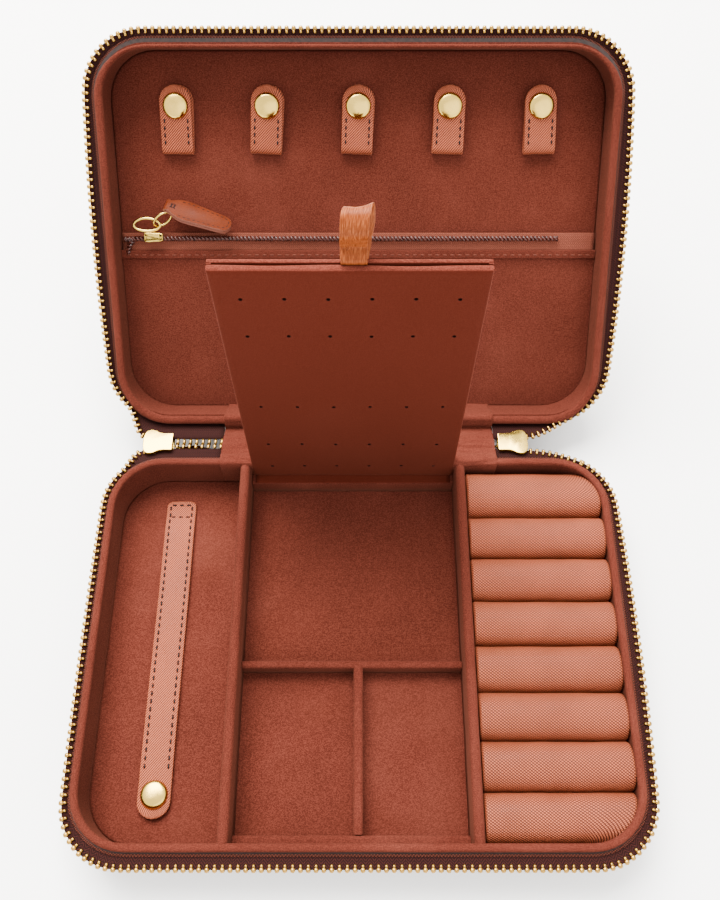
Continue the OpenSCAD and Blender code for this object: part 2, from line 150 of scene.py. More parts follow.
class Build:
    """Collects the surfaces of one piece. Each face carries a UV in millimetres along the surface."""

    def __init__(self):
        self.verts, self.faces, self.uvs = [], [], []

    def add(self, verts):
        start = len(self.verts)
        self.verts.extend(map(tuple, np.asarray(verts, float)))
        return start

    def grid(self, points, wrap_u=False, wrap_v=False, caps=False):
        """Quads through points[i][j]; caps closes the two ends of a grid that wraps in v."""
        p = np.asarray(points, float)
        nu, nv = p.shape[:2]
        start = self.add(p.reshape(-1, 3))
        closed = np.concatenate([p, p[:1]]) if wrap_u else p
        u = np.concatenate([[0], np.cumsum(np.linalg.norm(np.diff(closed, axis=0), axis=2).mean(1))])
        closed = np.concatenate([p, p[:, :1]], 1) if wrap_v else p
        v = np.concatenate([[0], np.cumsum(np.linalg.norm(np.diff(closed, axis=1), axis=2).mean(0))])
        for i in range(nu if wrap_u else nu - 1):
            for j in range(nv if wrap_v else nv - 1):
                i2, j2 = (i + 1) % nu, (j + 1) % nv
                self.faces.append([start + a * nv + b for a, b in ((i, j), (i2, j), (i2, j2), (i, j2))])
                self.uvs.append([(u[a], v[b]) for a, b in ((i, j), (i + 1, j), (i + 1, j + 1), (i, j + 1))])
        if caps:
            for i, order in ((0, range(nv)), (nu - 1, range(nv - 1, -1, -1))):
                self.face([start + i * nv + j for j in order])
        return self

    def face(self, indices):
        """One flat face; its UV is its own plane's millimetres."""
        p = np.array([self.verts[i] for i in indices])
        centre = p.mean(0)
        _, _, axes = np.linalg.svd(p - centre)
        self.faces.append(list(indices))
        self.uvs.append([tuple(x) for x in (p - centre) @ axes[:2].T])
        return self

    def make(self, name, material, place=None):
        """The mesh object of everything added so far, placed in the row frame."""
        mesh = bpy.data.meshes.new(name)
        m = Matrix.Scale(MM, 4) @ (place or Matrix.Identity(4))
        w = np.array(m)
        v = np.array(self.verts) @ w[:3, :3].T + w[:3, 3]
        mesh.from_pydata(v.tolist(), [], self.faces)
        layer = mesh.uv_layers.new(name="UVMap")
        flat = [c for face in self.uvs for uv in face for c in uv]
        layer.data.foreach_set("uv", flat)
        bm = bmesh.new()
        bm.from_mesh(mesh)
        bmesh.ops.recalc_face_normals(bm, faces=bm.faces)
        bm.to_mesh(mesh)
        bm.free()
        for polygon in mesh.polygons:
            polygon.use_smooth = True
        mesh.materials.append(material)
        obj = bpy.data.objects.new(name, mesh)
        bpy.context.scene.collection.objects.link(obj)
        return obj


def sharp(obj, degrees=40):
    """Keeps edges sharper than this angle crisp."""
    limit = math.radians(degrees)
    bm = bmesh.new()
    bm.from_mesh(obj.data)
    for e in bm.edges:
        e.smooth = not (len(e.link_faces) == 2 and e.calc_face_angle(0) > limit)
    bm.to_mesh(obj.data)
    bm.free()
    return obj


def wave(p, size, seed=0):
    """Smooth made-up unevenness from -1 to 1 over points, with features of about that size."""
    p = np.asarray(p, float)
    k = 2 * math.pi / size
    a = np.array([0.9, 0.35, 0.2]) * k
    b = np.array([-0.3, 0.85, 0.4]) * k
    c = np.array([0.5, -0.6, 0.75]) * k * 1.7
    s = seed * 1.7
    return (np.sin(p @ a + s) + np.sin(p @ b + 2.3 * s + 1) + 0.6 * np.sin(p @ c + 3.1 * s)) / 2.6


def units(vectors):
    """The rows of an array, each scaled to length one."""
    return vectors / np.linalg.norm(vectors, axis=1)[:, None]


def distances(points):
    """How far along a polyline each of its points lies."""
    return np.concatenate([[0], np.cumsum(np.linalg.norm(np.diff(points, axis=0), axis=1))])


def sample(stops, along, points):
    """The polyline's points, or its other vectors, at some distances along it."""
    return np.stack([np.interp(stops, along, points[:, k]) for k in range(3)], 1)


def resample(points, pitch):
    """Points about one pitch apart along a polyline, and the unit direction at each."""
    p = np.asarray(points, float)
    along = distances(p)
    count = max(2, int(round(along[-1] / pitch)) + 1)
    q = sample(np.linspace(0, along[-1], count), along, p)
    return q, units(np.gradient(q, axis=0))


def superellipsoid(size, n=8, m=4, power=0.5):
    """Rings of points of a rounded block round the origin; size holds its half sizes."""
    f = lambda t: np.sign(t) * np.abs(t) ** power
    around = np.linspace(0, 2 * math.pi, n, endpoint=False) + math.pi / n
    up = np.linspace(-math.pi / 2, math.pi / 2, m + 2)[1:-1]
    rings = []
    for b in up:
        wide, z = f(math.cos(b)), f(math.sin(b))
        rings.append([(wide * f(math.cos(a)), wide * f(math.sin(a)), z) for a in around])
    return np.array(rings) * np.array(size)


def scatter(build, template, places, forwards, ups):
    """Copies a template of rings to each place, x along forward and z along up."""
    for q, f, u in zip(places, forwards, ups):
        f = np.asarray(f, float) / np.linalg.norm(f)
        side = np.cross(u, f)
        side = side / np.linalg.norm(side)
        up = np.cross(f, side)
        block = q + template[..., :1] * f + template[..., 1:2] * side + template[..., 2:] * up
        build.grid(block, wrap_v=True, caps=True)
    return build


def stitches(build, path, pitch, length, radius):
    """A row of thread stitches lying half sunk along a path, with z up."""
    q, _ = resample(path, pitch=pitch)
    mid, way = (q[:-1] + q[1:]) / 2, q[1:] - q[:-1]
    ups = np.broadcast_to((0.0, 0.0, 1.0), mid.shape)
    template = superellipsoid((radius, radius * 0.8, length / 2), n=6, m=3, power=0.75)[..., [2, 0, 1]]
    return scatter(build, template, mid, way, ups)


def tube(build, path, radius, sides=10, closed=False):
    """A round rod along a path; radius is a number or one for each point."""
    p = np.asarray(path, float)
    n = len(p)
    d = np.roll(p, -1, 0) - np.roll(p, 1, 0) if closed else np.gradient(p, axis=0)
    d = units(d)
    side = np.cross(d[0], (0.31, 0.52, 0.8))
    rings = []
    radii = np.broadcast_to(radius, (n,))
    for i in range(n):
        side = side - d[i] * (side @ d[i])
        side = side / np.linalg.norm(side)
        other = np.cross(d[i], side)
        a = np.linspace(0, 2 * math.pi, sides, endpoint=False)
        rings.append(p[i] + radii[i] * (np.cos(a)[:, None] * side + np.sin(a)[:, None] * other))
    return build.grid(rings, wrap_u=closed, wrap_v=True, caps=not closed)


def lathe(build, profile, sides=48):
    """Turns a profile of (radius, z) about z; both ends are closed flat."""
    a = np.linspace(0, 2 * math.pi, sides, endpoint=False)
    rings = [[(r * math.cos(t), r * math.sin(t), z) for t in a] for r, z in profile]
    return build.grid(rings, wrap_v=True, caps=True)


def offset_loop(loop, amount):
    """A closed plan outline moved inwards by that amount."""
    p = np.asarray(loop, float)
    d = np.roll(p, -1, 0) - np.roll(p, 1, 0)
    d = units(d)
    area = (p[:, 0] * np.roll(p[:, 1], -1) - np.roll(p[:, 0], -1) * p[:, 1]).sum()
    return p + np.sign(area) * amount * np.stack([-d[:, 1], d[:, 0]], 1)


def plate(build, loop, z0, z1, edge, steps=3):
    """A plate over a plan outline from z0 to z1, its edges rounded."""
    rings = []
    for k in range(steps + 1):
        a = math.pi / 2 * k / steps
        rings.append((edge * (1 - math.sin(a)), z0 + edge * (1 - math.cos(a))))
    for k in range(steps + 1):
        a = math.pi / 2 * k / steps
        rings.append((edge * (1 - math.cos(a)), z1 - edge * (1 - math.sin(a))))
    points = [[(x, y, z) for x, y in offset_loop(loop, inset)] for inset, z in rings]
    return build.grid(points, wrap_v=True, caps=True)


def arc(cx, cy, r, a0, a1, n):
    a = np.radians(np.linspace(a0, a1, n))
    return [(cx + r * math.cos(t), cy + r * math.sin(t)) for t in a]


def curve(points, n):
    """A smooth curve through a few points (Catmull-Rom), n points on each stretch."""
    p = np.asarray(points, float)
    p = np.concatenate([2 * p[:1] - p[1:2], p, 2 * p[-1:] - p[-2:-1]])
    out = []
    for i in range(1, len(p) - 2):
        for t in np.linspace(0, 1, n, endpoint=False):
            a, b, c, d = p[i - 1], p[i], p[i + 1], p[i + 2]
            square = 2 * b + (c - a) * t + (2 * a - 5 * b + 4 * c - d) * t * t
            out.append(0.5 * (square + (3 * b - a - 3 * c + d) * t ** 3))
    out.append(p[-2])
    return np.array(out)


# ---- plan outlines ----

# steps in each corner, each side and the front; the back has half of the front's on either side
ARC_N, SIDE_N, FRONT_N = 10, 24, 32


def plan(half_x=HALF_X, front=-HALF_Y, back=HALF_Y, r=CORNER_R, grow=0.0):
    """The closed outline from the middle of the back, clockwise seen from above, as (x, y) points.
    Outlines with other sizes have the same count of points, so they can be joined."""
    def line(a, b, n):
        return [(a[0] + (b[0] - a[0]) * k / n, a[1] + (b[1] - a[1]) * k / n) for k in range(n)]
    cx, cf, cb, g = half_x - r, front + r, back - r, r + grow
    b, f = back + grow, front - grow
    pts = line((0, b), (cx, b), FRONT_N // 2)
    pts += arc(cx, cb, g, 90, 0, ARC_N)
    pts += line((half_x + grow, cb), (half_x + grow, cf), SIDE_N)[1:]
    pts += arc(cx, cf, g, 0, -90, ARC_N)
    pts += line((cx, f), (-cx, f), FRONT_N)[1:]
    pts += arc(-cx, cf, g, -90, -180, ARC_N)
    pts += line((-half_x - grow, cf), (-half_x - grow, cb), SIDE_N)[1:]
    pts += arc(-cx, cb, g, 180, 90, ARC_N)
    pts += line((-cx, b), (0, b), FRONT_N // 2)[1:]
    return np.array(pts)


def zip_plan(body="base", grow=0.0):
    """The line of the open row of teeth; between the corners it bows out from the wall."""
    left, right = FLARE[body]
    pts = plan(TEETH_X, TEETH_FRONT + LID_FRONT_IN * (body == "lid"), TEETH_BACK, TEETH_R, grow)
    middle, half = (TEETH_FRONT + TEETH_BACK) / 2, (TEETH_BACK - TEETH_FRONT) / 2
    bow = np.clip(1 - ((pts[:, 1] - middle) / half) ** 2, 0, 1)
    bow = bow * np.clip((np.abs(pts[:, 0]) - TEETH_X + TEETH_R) / TEETH_R, 0, 1)
    pts[:, 0] += np.where(pts[:, 0] > 0, right, -left) * bow
    return pts


def lid_reach(points):
    """Moves the lid's back wall towards the hinge."""
    p = np.array(points, float)
    y = p[..., 1]
    p[..., 1] += LID_BACK_OUT * np.clip((y - HALF_Y + CORNER_R) / CORNER_R, 0, 1)
    return p


def ring_points(grow, z, scale=1.0):
    """The wall outline grown by some amount at a height; scale below 1 shrinks it to the middle."""
    p = plan(grow=max(grow, -CORNER_R + 2))
    return np.column_stack([p * scale, np.full(len(p), z)])


def shell_sweep(build, profile):
    """Sweeps a profile of (grow, z) or (grow, z, scale) round the case; its two ends are closed flat."""
    rings = [ring_points(*row) for row in profile]
    return build.grid(rings, wrap_v=True, caps=True)


def rounding(g0, z0, g1, z1, n=5, bulge=1):
    """Points of a quarter round from (g0, z0) to (g1, z1), leaving along g when bulge is 1."""
    out = []
    for k in range(n + 1):
        a = math.pi / 2 * k / n
        s, c = math.sin(a), 1 - math.cos(a)
        out.append((g0 + (g1 - g0) * (s if bulge else c), z0 + (z1 - z0) * (c if bulge else s)))
    return out


# ---- materials ----


class Paint:
    """A node material under construction: short calls for the nodes it needs."""

    def __init__(self, name, roughness=0.5, metallic=0.0, **fixed):
        self.mat = bpy.data.materials.new(name)
        self.mat.use_nodes = True
        self.tree = self.mat.node_tree
        self.shader = self.tree.nodes["Principled BSDF"]
        self.shader.inputs["Roughness"].default_value = roughness
        self.shader.inputs["Metallic"].default_value = metallic
        for key, value in fixed.items():
            self.shader.inputs[key.replace("_", " ")].default_value = value

    def node(self, kind, **settings):
        n = self.tree.nodes.new(kind)
        for key, value in settings.items():
            setattr(n, key, value)
        return n

    def link(self, a, b):
        self.tree.links.new(a, b)

    def coords(self, kind="Object"):
        return self.node("ShaderNodeTexCoord").outputs[kind]

    def noise(self, scale, detail=3, coords=None, stretch=None, rough=0.55):
        """Noise with that many features to a metre, or to a millimetre of UV."""
        n = self.node("ShaderNodeTexNoise")
        n.inputs["Scale"].default_value = scale
        n.inputs["Detail"].default_value = detail
        n.inputs["Roughness"].default_value = rough
        c = coords or self.coords()
        if stretch:
            m = self.node("ShaderNodeMapping")
            m.inputs["Scale"].default_value = stretch
            self.link(c, m.inputs["Vector"])
            c = m.outputs["Vector"]
        self.link(c, n.inputs["Vector"])
        return n.outputs["Fac"]

    def math(self, kind, a, b):
        n = self.node("ShaderNodeMath", operation=kind)
        for socket, value in zip(n.inputs, (a, b)):
            if isinstance(value, (int, float)):
                socket.default_value = value
            else:
                self.link(value, socket)
        return n.outputs[0]

    def ramp(self, fac, *stops):
        """A colour ramp through (place, colour) stops."""
        n = self.node("ShaderNodeValToRGB")
        e = n.color_ramp.elements
        while len(e) < len(stops):
            e.new(0.5)
        for el, (place, colour) in zip(e, stops):
            el.position = place
            el.color = (*colour, 1)
        self.link(fac, n.inputs["Fac"])
        return n.outputs["Color"]

    def smooth(self, value, low, high, to_low=0.0, to_high=1.0):
        n = self.node("ShaderNodeMapRange", interpolation_type="SMOOTHSTEP")
        for key, v in (("From Min", low), ("From Max", high), ("To Min", to_low), ("To Max", to_high)):
            n.inputs[key].default_value = v
        self.link(value, n.inputs["Value"])
        return n.outputs["Result"]

    def mix(self, fac, a, b):
        n = self.node("ShaderNodeMix", data_type="RGBA")
        if isinstance(fac, (int, float)):
            n.inputs[0].default_value = fac
        else:
            self.link(fac, n.inputs[0])
        for socket, value in ((n.inputs[6], a), (n.inputs[7], b)):
            if isinstance(value, tuple):
                socket.default_value = (*value, 1)
            else:
                self.link(value, socket)
        return n.outputs[2]

    def colour(self, output):
        self.link(output, self.shader.inputs["Base Color"])

    def rough(self, fac, low, high):
        self.link(self.smooth(fac, 0.3, 0.7, low, high), self.shader.inputs["Roughness"])

    def bump(self, height, distance, strength=1.0):
        """Bump of that height in millimetres; later calls lie on top of earlier ones."""
        n = self.node("ShaderNodeBump")
        n.inputs["Strength"].default_value = strength
        n.inputs["Distance"].default_value = distance * MM
        self.link(height, n.inputs["Height"])
        normal = self.shader.inputs["Normal"]
        if normal.is_linked:
            self.link(normal.links[0].from_socket, n.inputs["Normal"])
        self.link(n.outputs["Normal"], normal)

    def uv(self):
        """The two UV coordinates, in millimetres along the surface."""
        n = self.node("ShaderNodeSeparateXYZ")
        self.link(self.coords("UV"), n.inputs["Vector"])
        return n.outputs["X"], n.outputs["Y"]


def shade(colour, factor):
    return tuple(min(1.0, c * factor) for c in colour)


SUEDE = (0.052, 0.0102, 0.0062)
SUEDE_DARK = shade(SUEDE, 0.62)
SUEDE_LIGHT = (0.082, 0.0195, 0.0125)
SAFFIANO = (0.285, 0.066, 0.029)
THREAD = (0.006, 0.0011, 0.0009)
BRASS = (0.56, 0.375, 0.075)
BRASS_TEETH = (0.33, 0.185, 0.036)


def suede(name="suede", tone=1.0, patch=0.5, tint=None):
    """Short-nap suede: brushed patches, a fine fibre grain and a soft sheen."""
    p = Paint(name, roughness=0.95, Sheen_Weight=0.05, Sheen_Roughness=0.5, Specular_IOR_Level=0.02)
    p.shader.inputs["Sheen Tint"].default_value = (0.8, 0.30, 0.18, 1)
    brushed = p.noise(38, 4)
    cloud = p.noise(11, 2)
    fibre = p.noise(4200, 3, rough=0.7)
    speck = p.noise(2100, 3, stretch=(1, 1.4, 1))
    nap = p.math("ADD", p.math("MULTIPLY", brushed, patch), p.math("MULTIPLY", cloud, 1 - patch))
    base = p.ramp(nap, (0.36, shade(SUEDE, 0.66 * tone)), (0.52, shade(SUEDE, tone)),
        (0.66, shade(SUEDE_LIGHT, 0.98 * tone)))
    grain = p.smooth(p.math("ADD", p.math("MULTIPLY", fibre, 0.35), p.math("MULTIPLY", speck, 0.65)), 0.43,
        0.59)
    fine = p.mix(grain, shade(SUEDE_DARK, 0.9 * tone), shade(SUEDE_LIGHT, 1.1 * tone))
    both = p.mix(0.6, base, fine)
    p.colour(both if tint is None else p.mix(0.75, both, tint))
    p.bump(brushed, 0.3, 0.4)
    p.bump(speck, 0.1, 0.5)
    p.bump(fibre, 0.05, 0.6)
    return p.mat


def saffiano(name="saffiano", colour=SAFFIANO, pitch=0.9, gloss=0.42, second_groove_depth_and_shade=0.4):
    """Cross-hatched embossed leather: fine grooves along both diagonals, with a satin finish; the grooves
    are painted dark as painted shade, those of the second diagonal less, as if lit from one side.
    """
    p = Paint(name, roughness=gloss, Specular_IOR_Level=0.10)
    u, v = p.uv()
    bend = p.math("MULTIPLY", p.math("SUBTRACT", p.noise(90, 2), 0.5), 0.5)
    drift = p.math("MULTIPLY", p.math("SUBTRACT", p.noise(420, 2), 0.5), 0.35)
    line = []
    for sign in (-1, 1):
        along = p.math("ADD", p.math("MULTIPLY", u, 0.8), p.math("MULTIPLY", v, sign))
        along = p.math("ADD", p.math("ADD", along, bend), drift)
        line.append(p.math("PINGPONG", p.math("DIVIDE", along, pitch), 0.5))
    first = p.smooth(line[0], 0.06, 0.36)
    second = p.smooth(line[1], 0.06, 0.36, 1 - second_groove_depth_and_shade, 1.0)
    pebble = p.math("MULTIPLY", first, second)
    wear = p.noise(70, 3)
    lit = p.ramp(wear, (0.3, shade(colour, 0.9)), (0.7, shade(colour, 1.14)))
    # painted shade: the grooves are darkened to 0.14 of the leather's colour, the second diagonal's grooves
    # less
    p.colour(p.mix(p.smooth(pebble, 0.1, 0.85), shade(colour, 0.14), lit))
    p.rough(wear, gloss - 0.06, gloss + 0.1)
    p.bump(wear, 0.12, 0.3)
    p.bump(pebble, 0.2, 0.9)
    return p.mat


def smooth_leather(name, colour, gloss=0.34, grain=0.5):
    """Smooth tanned leather with a faint pebble grain and darker pores."""
    p = Paint(name, roughness=0.55, Specular_IOR_Level=0.04)
    cell = p.node("ShaderNodeTexVoronoi", feature="DISTANCE_TO_EDGE")
    cell.inputs["Scale"].default_value = 1500
    p.link(p.coords(), cell.inputs["Vector"])
    crease = p.smooth(cell.outputs["Distance"], 0.0, 0.12)
    cloud = p.noise(160, 4)
    p.colour(p.mix(crease, shade(colour, 0.72), p.ramp(cloud, (0.3, shade(colour, 0.8)), (0.7, shade(colour,
        1.2)))))
    p.rough(cloud, gloss - 0.06, gloss + 0.12)
    p.bump(cloud, 0.1, 0.3)
    p.bump(crease, 0.04, grain)
    return p.mat


def raw_edge(name, colour):
    """The cut and burnished edge of leather: fibres lying along it."""
    p = Paint(name, roughness=0.6)
    fibre = p.noise(1200, 4, stretch=(1, 1, 3))
    p.colour(p.ramp(fibre, (0.35, shade(colour, 0.75)), (0.65, shade(colour, 1.2))))
    p.bump(fibre, 0.08, 0.5)
    return p.mat


def brass(name="brass", colour=BRASS, gloss=0.2):
    """Polished light-gold plating with faint smudges and hairline scratches."""
    p = Paint(name, roughness=gloss, metallic=1.0)
    smudge = p.noise(160, 4)
    scratch = p.noise(900, 2, stretch=(1, 14, 1))
    p.colour(p.mix(p.smooth(smudge, 0.35, 0.7), shade(colour, 0.86), colour))
    p.rough(smudge, gloss - 0.06, gloss + 0.1)
    p.bump(scratch, 0.012, 0.35)
    return p.mat


def woven(name, colour, pitch=0.8, contrast=0.6, gloss=0.85):
    """Woven tape: herringbone twill ribs running along the tape."""
    p = Paint(name, roughness=gloss, Specular_IOR_Level=0.08)
    u, v = p.uv()
    zigzag = p.math("PINGPONG", v, pitch * 1.6)
    rib = p.math("PINGPONG", p.math("DIVIDE", p.math("ADD", u, zigzag), pitch), 0.5)
    cross = p.math("PINGPONG", p.math("DIVIDE", v, pitch * 0.8), 0.5)
    thread = p.math("MULTIPLY", p.smooth(rib, 0.04, 0.4), p.smooth(cross, 0.0, 0.3, 0.45, 1.0))
    fuzz = p.noise(2400, 3)
    yarn = p.mix(p.smooth(fuzz, 0.35, 0.65), shade(colour, 0.8), shade(colour, 1.25))
    p.colour(p.mix(thread, shade(colour, 1 - contrast), yarn))
    p.bump(thread, 0.18, 0.8)
    p.bump(fuzz, 0.04, 0.5)
    return p.mat


def satin():
    """Glossy satin ribbon: floats along its length, with painted sheen: brighter and duller streaks painted
    into its colour.
    """
    colour = (0.13, 0.027, 0.0055)
    p = Paint("satin", roughness=0.36, Specular_IOR_Level=0.05)
    u, _ = p.uv()
    streak_and_painted_sheen = p.noise(3.2, 3, coords=p.coords("UV"), stretch=(0.12, 1, 1))
    weft = p.math("PINGPONG", p.math("DIVIDE", u, 0.32), 0.5)
    # painted sheen: the ramp paints bright highlight streaks and dull streaks along the ribbon
    p.colour(p.ramp(streak_and_painted_sheen, (0.32, shade(colour, 0.62)), (0.5, colour), (0.7, (0.24, 0.066, 0.018))))
    p.rough(streak_and_painted_sheen, 0.26, 0.44)
    p.bump(streak_and_painted_sheen, 0.2, 0.5)
    p.bump(weft, 0.03, 0.4)
    return p.mat


def thread(name, colour):
    """Twisted sewing thread."""
    p = Paint(name, roughness=0.6, Specular_IOR_Level=0.15)
    ply = p.noise(2200, 2, stretch=(1, 1, 0.5))
    p.colour(p.ramp(ply, (0.35, shade(colour, 0.7)), (0.65, shade(colour, 1.35))))
    p.bump(ply, 0.08, 0.7)
    return p.mat


def nylon():
    """Moulded nylon coil, dark burgundy with a hard gloss."""
    p = Paint("coil", roughness=0.3, Specular_IOR_Level=0.3)
    cloud = p.noise(700, 2)
    p.colour(p.ramp(cloud, (0.35, (0.022, 0.0045, 0.003)), (0.7, (0.06, 0.014, 0.009))))
    p.rough(cloud, 0.2, 0.36)
    p.bump(cloud, 0.03, 0.4)
    return p.mat


def board():
    """Dark dyed pressed board: short fibres in a matt sheet."""
    p = Paint("board", roughness=0.92)
    fibre = p.noise(700, 5)
    p.colour(p.ramp(fibre, (0.35, (0.008, 0.0035, 0.0025)), (0.65, (0.02, 0.008, 0.006))))
    p.bump(fibre, 0.1, 0.5)
    return p.mat


def foam():
    """Open-cell foam: small pores in a pale sheet."""
    p = Paint("foam", roughness=0.95)
    cell = p.node("ShaderNodeTexVoronoi")
    cell.inputs["Scale"].default_value = 1400
    p.link(p.coords(), cell.inputs["Vector"])
    p.colour(p.ramp(cell.outputs["Distance"], (0.1, (0.42, 0.37, 0.30)), (0.6, (0.68, 0.63, 0.55))))
    p.bump(cell.outputs["Distance"], 0.2, 0.6)
    return p.mat


def floor_paint():
    """Pale matt table top."""
    p = Paint("floor", roughness=0.9)
    cloud = p.noise(3, 2)
    p.colour(p.ramp(cloud, (0.3, (0.93, 0.925, 0.915)), (0.7, (0.95, 0.945, 0.935))))
    return p.mat


MAT = {
    "suede": suede(),
    "suede_panel": suede("suede_panel", tone=0.85, patch=0.3, tint=(0.043, 0.0062, 0.0028)),
    # painted highlight: a lighter suede for the boards' edge faces, where light falls on them
    "suede_edge_painted_highlight": suede("suede_edge_painted_highlight", tone=1.35),
    "suede_pocket": suede("suede_pocket", tone=0.95),
    "suede_spine": suede("suede_spine", tone=1.05),
    "floor": floor_paint(),
    "saffiano": saffiano(),
    "brass_teeth": brass("brass_teeth", BRASS_TEETH, gloss=0.25),
    "saffiano_roll": saffiano("saffiano_roll", pitch=1.1, second_groove_depth_and_shade=0.75),
    "cover": saffiano("cover_leather", (0.085, 0.0185, 0.0095), 0.95, 0.4, 0.8),
    "pull": smooth_leather("pull_leather", (0.075, 0.0125, 0.0028)),
    "pull_edge": raw_edge("pull_edge", (0.155, 0.042, 0.022)),
    "brass": brass(),
    "tape": woven("zip_tape", (0.022, 0.0044, 0.0034), pitch=1.0, contrast=0.85),
    "pocket_tape": woven("pocket_tape", (0.15, 0.040, 0.024), pitch=0.9, contrast=0.5),
    "satin": satin(),
    "thread": thread("thread", THREAD),
    "thread_light": thread("thread_light", (0.095, 0.026, 0.015)),
    "coil": nylon(),
    "board": board(),
    "foam": foam(),
}


def put(obj, body, slot, *nodes):
    """Seats a finished piece on its CAD body in place of CAD nodes; its slot is not used."""
    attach(obj, body)
    if nodes:
        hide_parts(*nodes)
    return obj


def hinge_blend(obj, body, slot, edge, middle, *nodes):
    """Bakes a piece's placement into its mesh and hides the CAD nodes it replaces; edge and middle are not
    used.
    """
    edge, middle = Vector(edge), Vector(middle)
    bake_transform(obj)
    if nodes:
        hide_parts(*nodes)
    return obj


# ---- tray and lid shells ----


def inward(z, scales=(0.2, 0.45, 0.7, 0.9)):
    """Rings from the middle of a flat panel out to where its corners begin."""
    return [(-18, z, s) for s in scales]


def crowned(build, crown, low):
    """Bulges a shell's outer face softly: most in the middle, nothing at its edges."""
    v = np.array(build.verts)
    x, y = np.clip(np.abs(v[:, 0]) / HALF_X, 0, 1), np.clip(np.abs(v[:, 1]) / HALF_Y, 0, 1)
    v[:, 2] -= crown * (1 - x**2.6) * (1 - y**2.6) * np.clip((low + 3 - v[:, 2]) / 2, 0, 1)
    build.verts = list(map(tuple, v))
    return build


def flat_uvs(build):
    """Lays the pattern straight across the faces that lie flat, instead of ring by ring."""
    for k, face in enumerate(build.faces):
        p = np.array([build.verts[i] for i in face])
        span = np.ptp(p, axis=0)
        if span[2] < 0.5 * max(span[0], span[1]):
            build.uvs[k] = [(x, y) for x, y, _ in p]
    return build


def cover(name, place, body, bottom, edge_r, crown, node):
    """Leather outside of the tray or the lid, with its edge turned in under the zip tape."""
    top = -SHELL_DROP
    low = bottom + crown
    middle = (0.04, 0.16, 0.28, 0.4, 0.52, 0.64, 0.76, 0.88, 0.96)
    outside = inward(low, middle) + [(-18, low), (-14, low), (-10, low), (-6, low), (-3, low)]
    outside += rounding(WALL_T - edge_r, low, WALL_T, low + edge_r)
    outside += [(WALL_T, (low + top) / 2), (WALL_T, top - 1.2)] + rounding(WALL_T, top - 0.6, WALL_T - 0.6,
        top, 3, 0)
    inner = low + 1.0
    inside = [(2.55, top), (2.55, top - 8), (2.4, inner + edge_r - 0.6), (1.2, inner + edge_r * 0.42),
        (-1.2, inner + edge_r * 0.08), (-4, inner), (-18, inner)]
    inside += inward(inner, middle[::-1])
    build = flat_uvs(crowned(shell_sweep(Build(), outside + inside), crown, low))
    if body == "lid":
        build.verts = list(map(tuple, lid_reach(build.verts)))
    obj = build.make(name, MAT["cover"], place)
    return put(sharp(obj, 60), body, "cover_leather", node)


def lining(name, place, body, floor, node):
    """Suede floor and walls. The floor is a wrapped board, so a thin crevice runs along its edge."""
    profile = inward(floor) + [(-18, floor), (-9, floor), (-3, floor), (-1.2, floor), (-0.55, floor - 0.14)]
    profile += [(-0.3, floor - 0.5), (-0.24, floor - 1), (0, floor - 1), (0, floor), (-0.02, floor + 3)]
    profile += [(0.05, floor / 2), (0.0, -4), (0, -1.85), (0.9, -1.85), (0.95, floor / 2),
        (0.95, floor - 1.3), (-18, floor - 1.3)]
    profile += [(-18, floor - 1.3, s) for s in (0.9, 0.2)]
    build = shell_sweep(Build(), profile)
    v = np.array(build.verts)
    v[:, 2] += 0.14 * wave(v, 47, 3) * (np.abs(v[:, 2] - floor) < 0.05)
    build.verts = list(map(tuple, v))
    obj = build.make(name, MAT["suede"], place)
    return put(sharp(obj, 50), body, "suede", node)


def rim(name, place, body, node, inner, outer):
    """Suede-wrapped rim on top of the walls, rounded over, slightly uneven and overhanging the wall."""
    a, b = inner, outer
    profile = [(a + 0.45, -2.7), (a + 0.02, -2.0), (a, -1.1), (a + 0.3, -0.42), (a + 0.85, -0.1),
        ((a + b) / 2, 0), (b - 0.85, -0.1), (b - 0.3, -0.42), (b, -1.1), (b, -1.9), (b - 0.3, -2.6),
        ((a + b) / 2, -2.7)]
    rings = [ring_points(g, z) for g, z in profile]
    p = np.array(rings)
    p[:, :, 2] += 0.06 * wave(p, 31, 5)
    p[:, :, :2] *= 1 + 0.0006 * wave(p, 40, 2)[..., None]
    if body == "lid":
        outward = np.array([(g - a) / (b - a) for g, z in profile])[:, None]
        p[:, :, 1] += LID_FRONT_IN * outward * np.clip((CORNER_R - HALF_Y - p[:, :, 1]) / CORNER_R, 0, 1)
        p = lid_reach(p)
    obj = Build().grid(p, wrap_u=True, wrap_v=True).make(name, MAT["suede"], place)
    return put(obj, body, "suede", node)


cover("base_leather", TRAY, "base", -RIM_TOP, 3.0, 0.0, "base_cover")
cover("lid_leather", LID_SHELL, "lid", LID_OUT - 0.5, 5.0, 1.6, "lid_cover")
lining("base_suede", TRAY, "base", FLOOR - RIM_TOP, "base_lining")
lining("lid_suede", LID_SHELL, "lid", -LID_DEPTH, "lid_lining")
rim("base_rim_suede", TRAY, "base", "base_rim", -0.9, 2.1)
rim("lid_rim_suede", LID_SHELL, "lid", "lid_rim", -1.4, 2.0)


def lid_pad():
    """Foam under the leather of the lid, thickest in the middle."""
    under, over = -22.4, -24.8
    profile = inward(over, (0.04, 0.2, 0.4, 0.6, 0.8, 0.94)) + [(-18, over), (-10, over),
        (-5, over)] + rounding(-4.2, over, -0.6, over + 1.9, 4)
    profile += [(-0.6, under), (-18, under), (-18, under, 0.2)]
    obj = crowned(shell_sweep(Build(), profile), 1.4, over - 1.5).make("lid_foam_pad", MAT["foam"],
        LID_SHELL)
    put(obj, "lid", "foam", "lid_foam")


lid_pad()

# ---- main zip: tape, teeth, the runs into the sliders and the closed chain ----

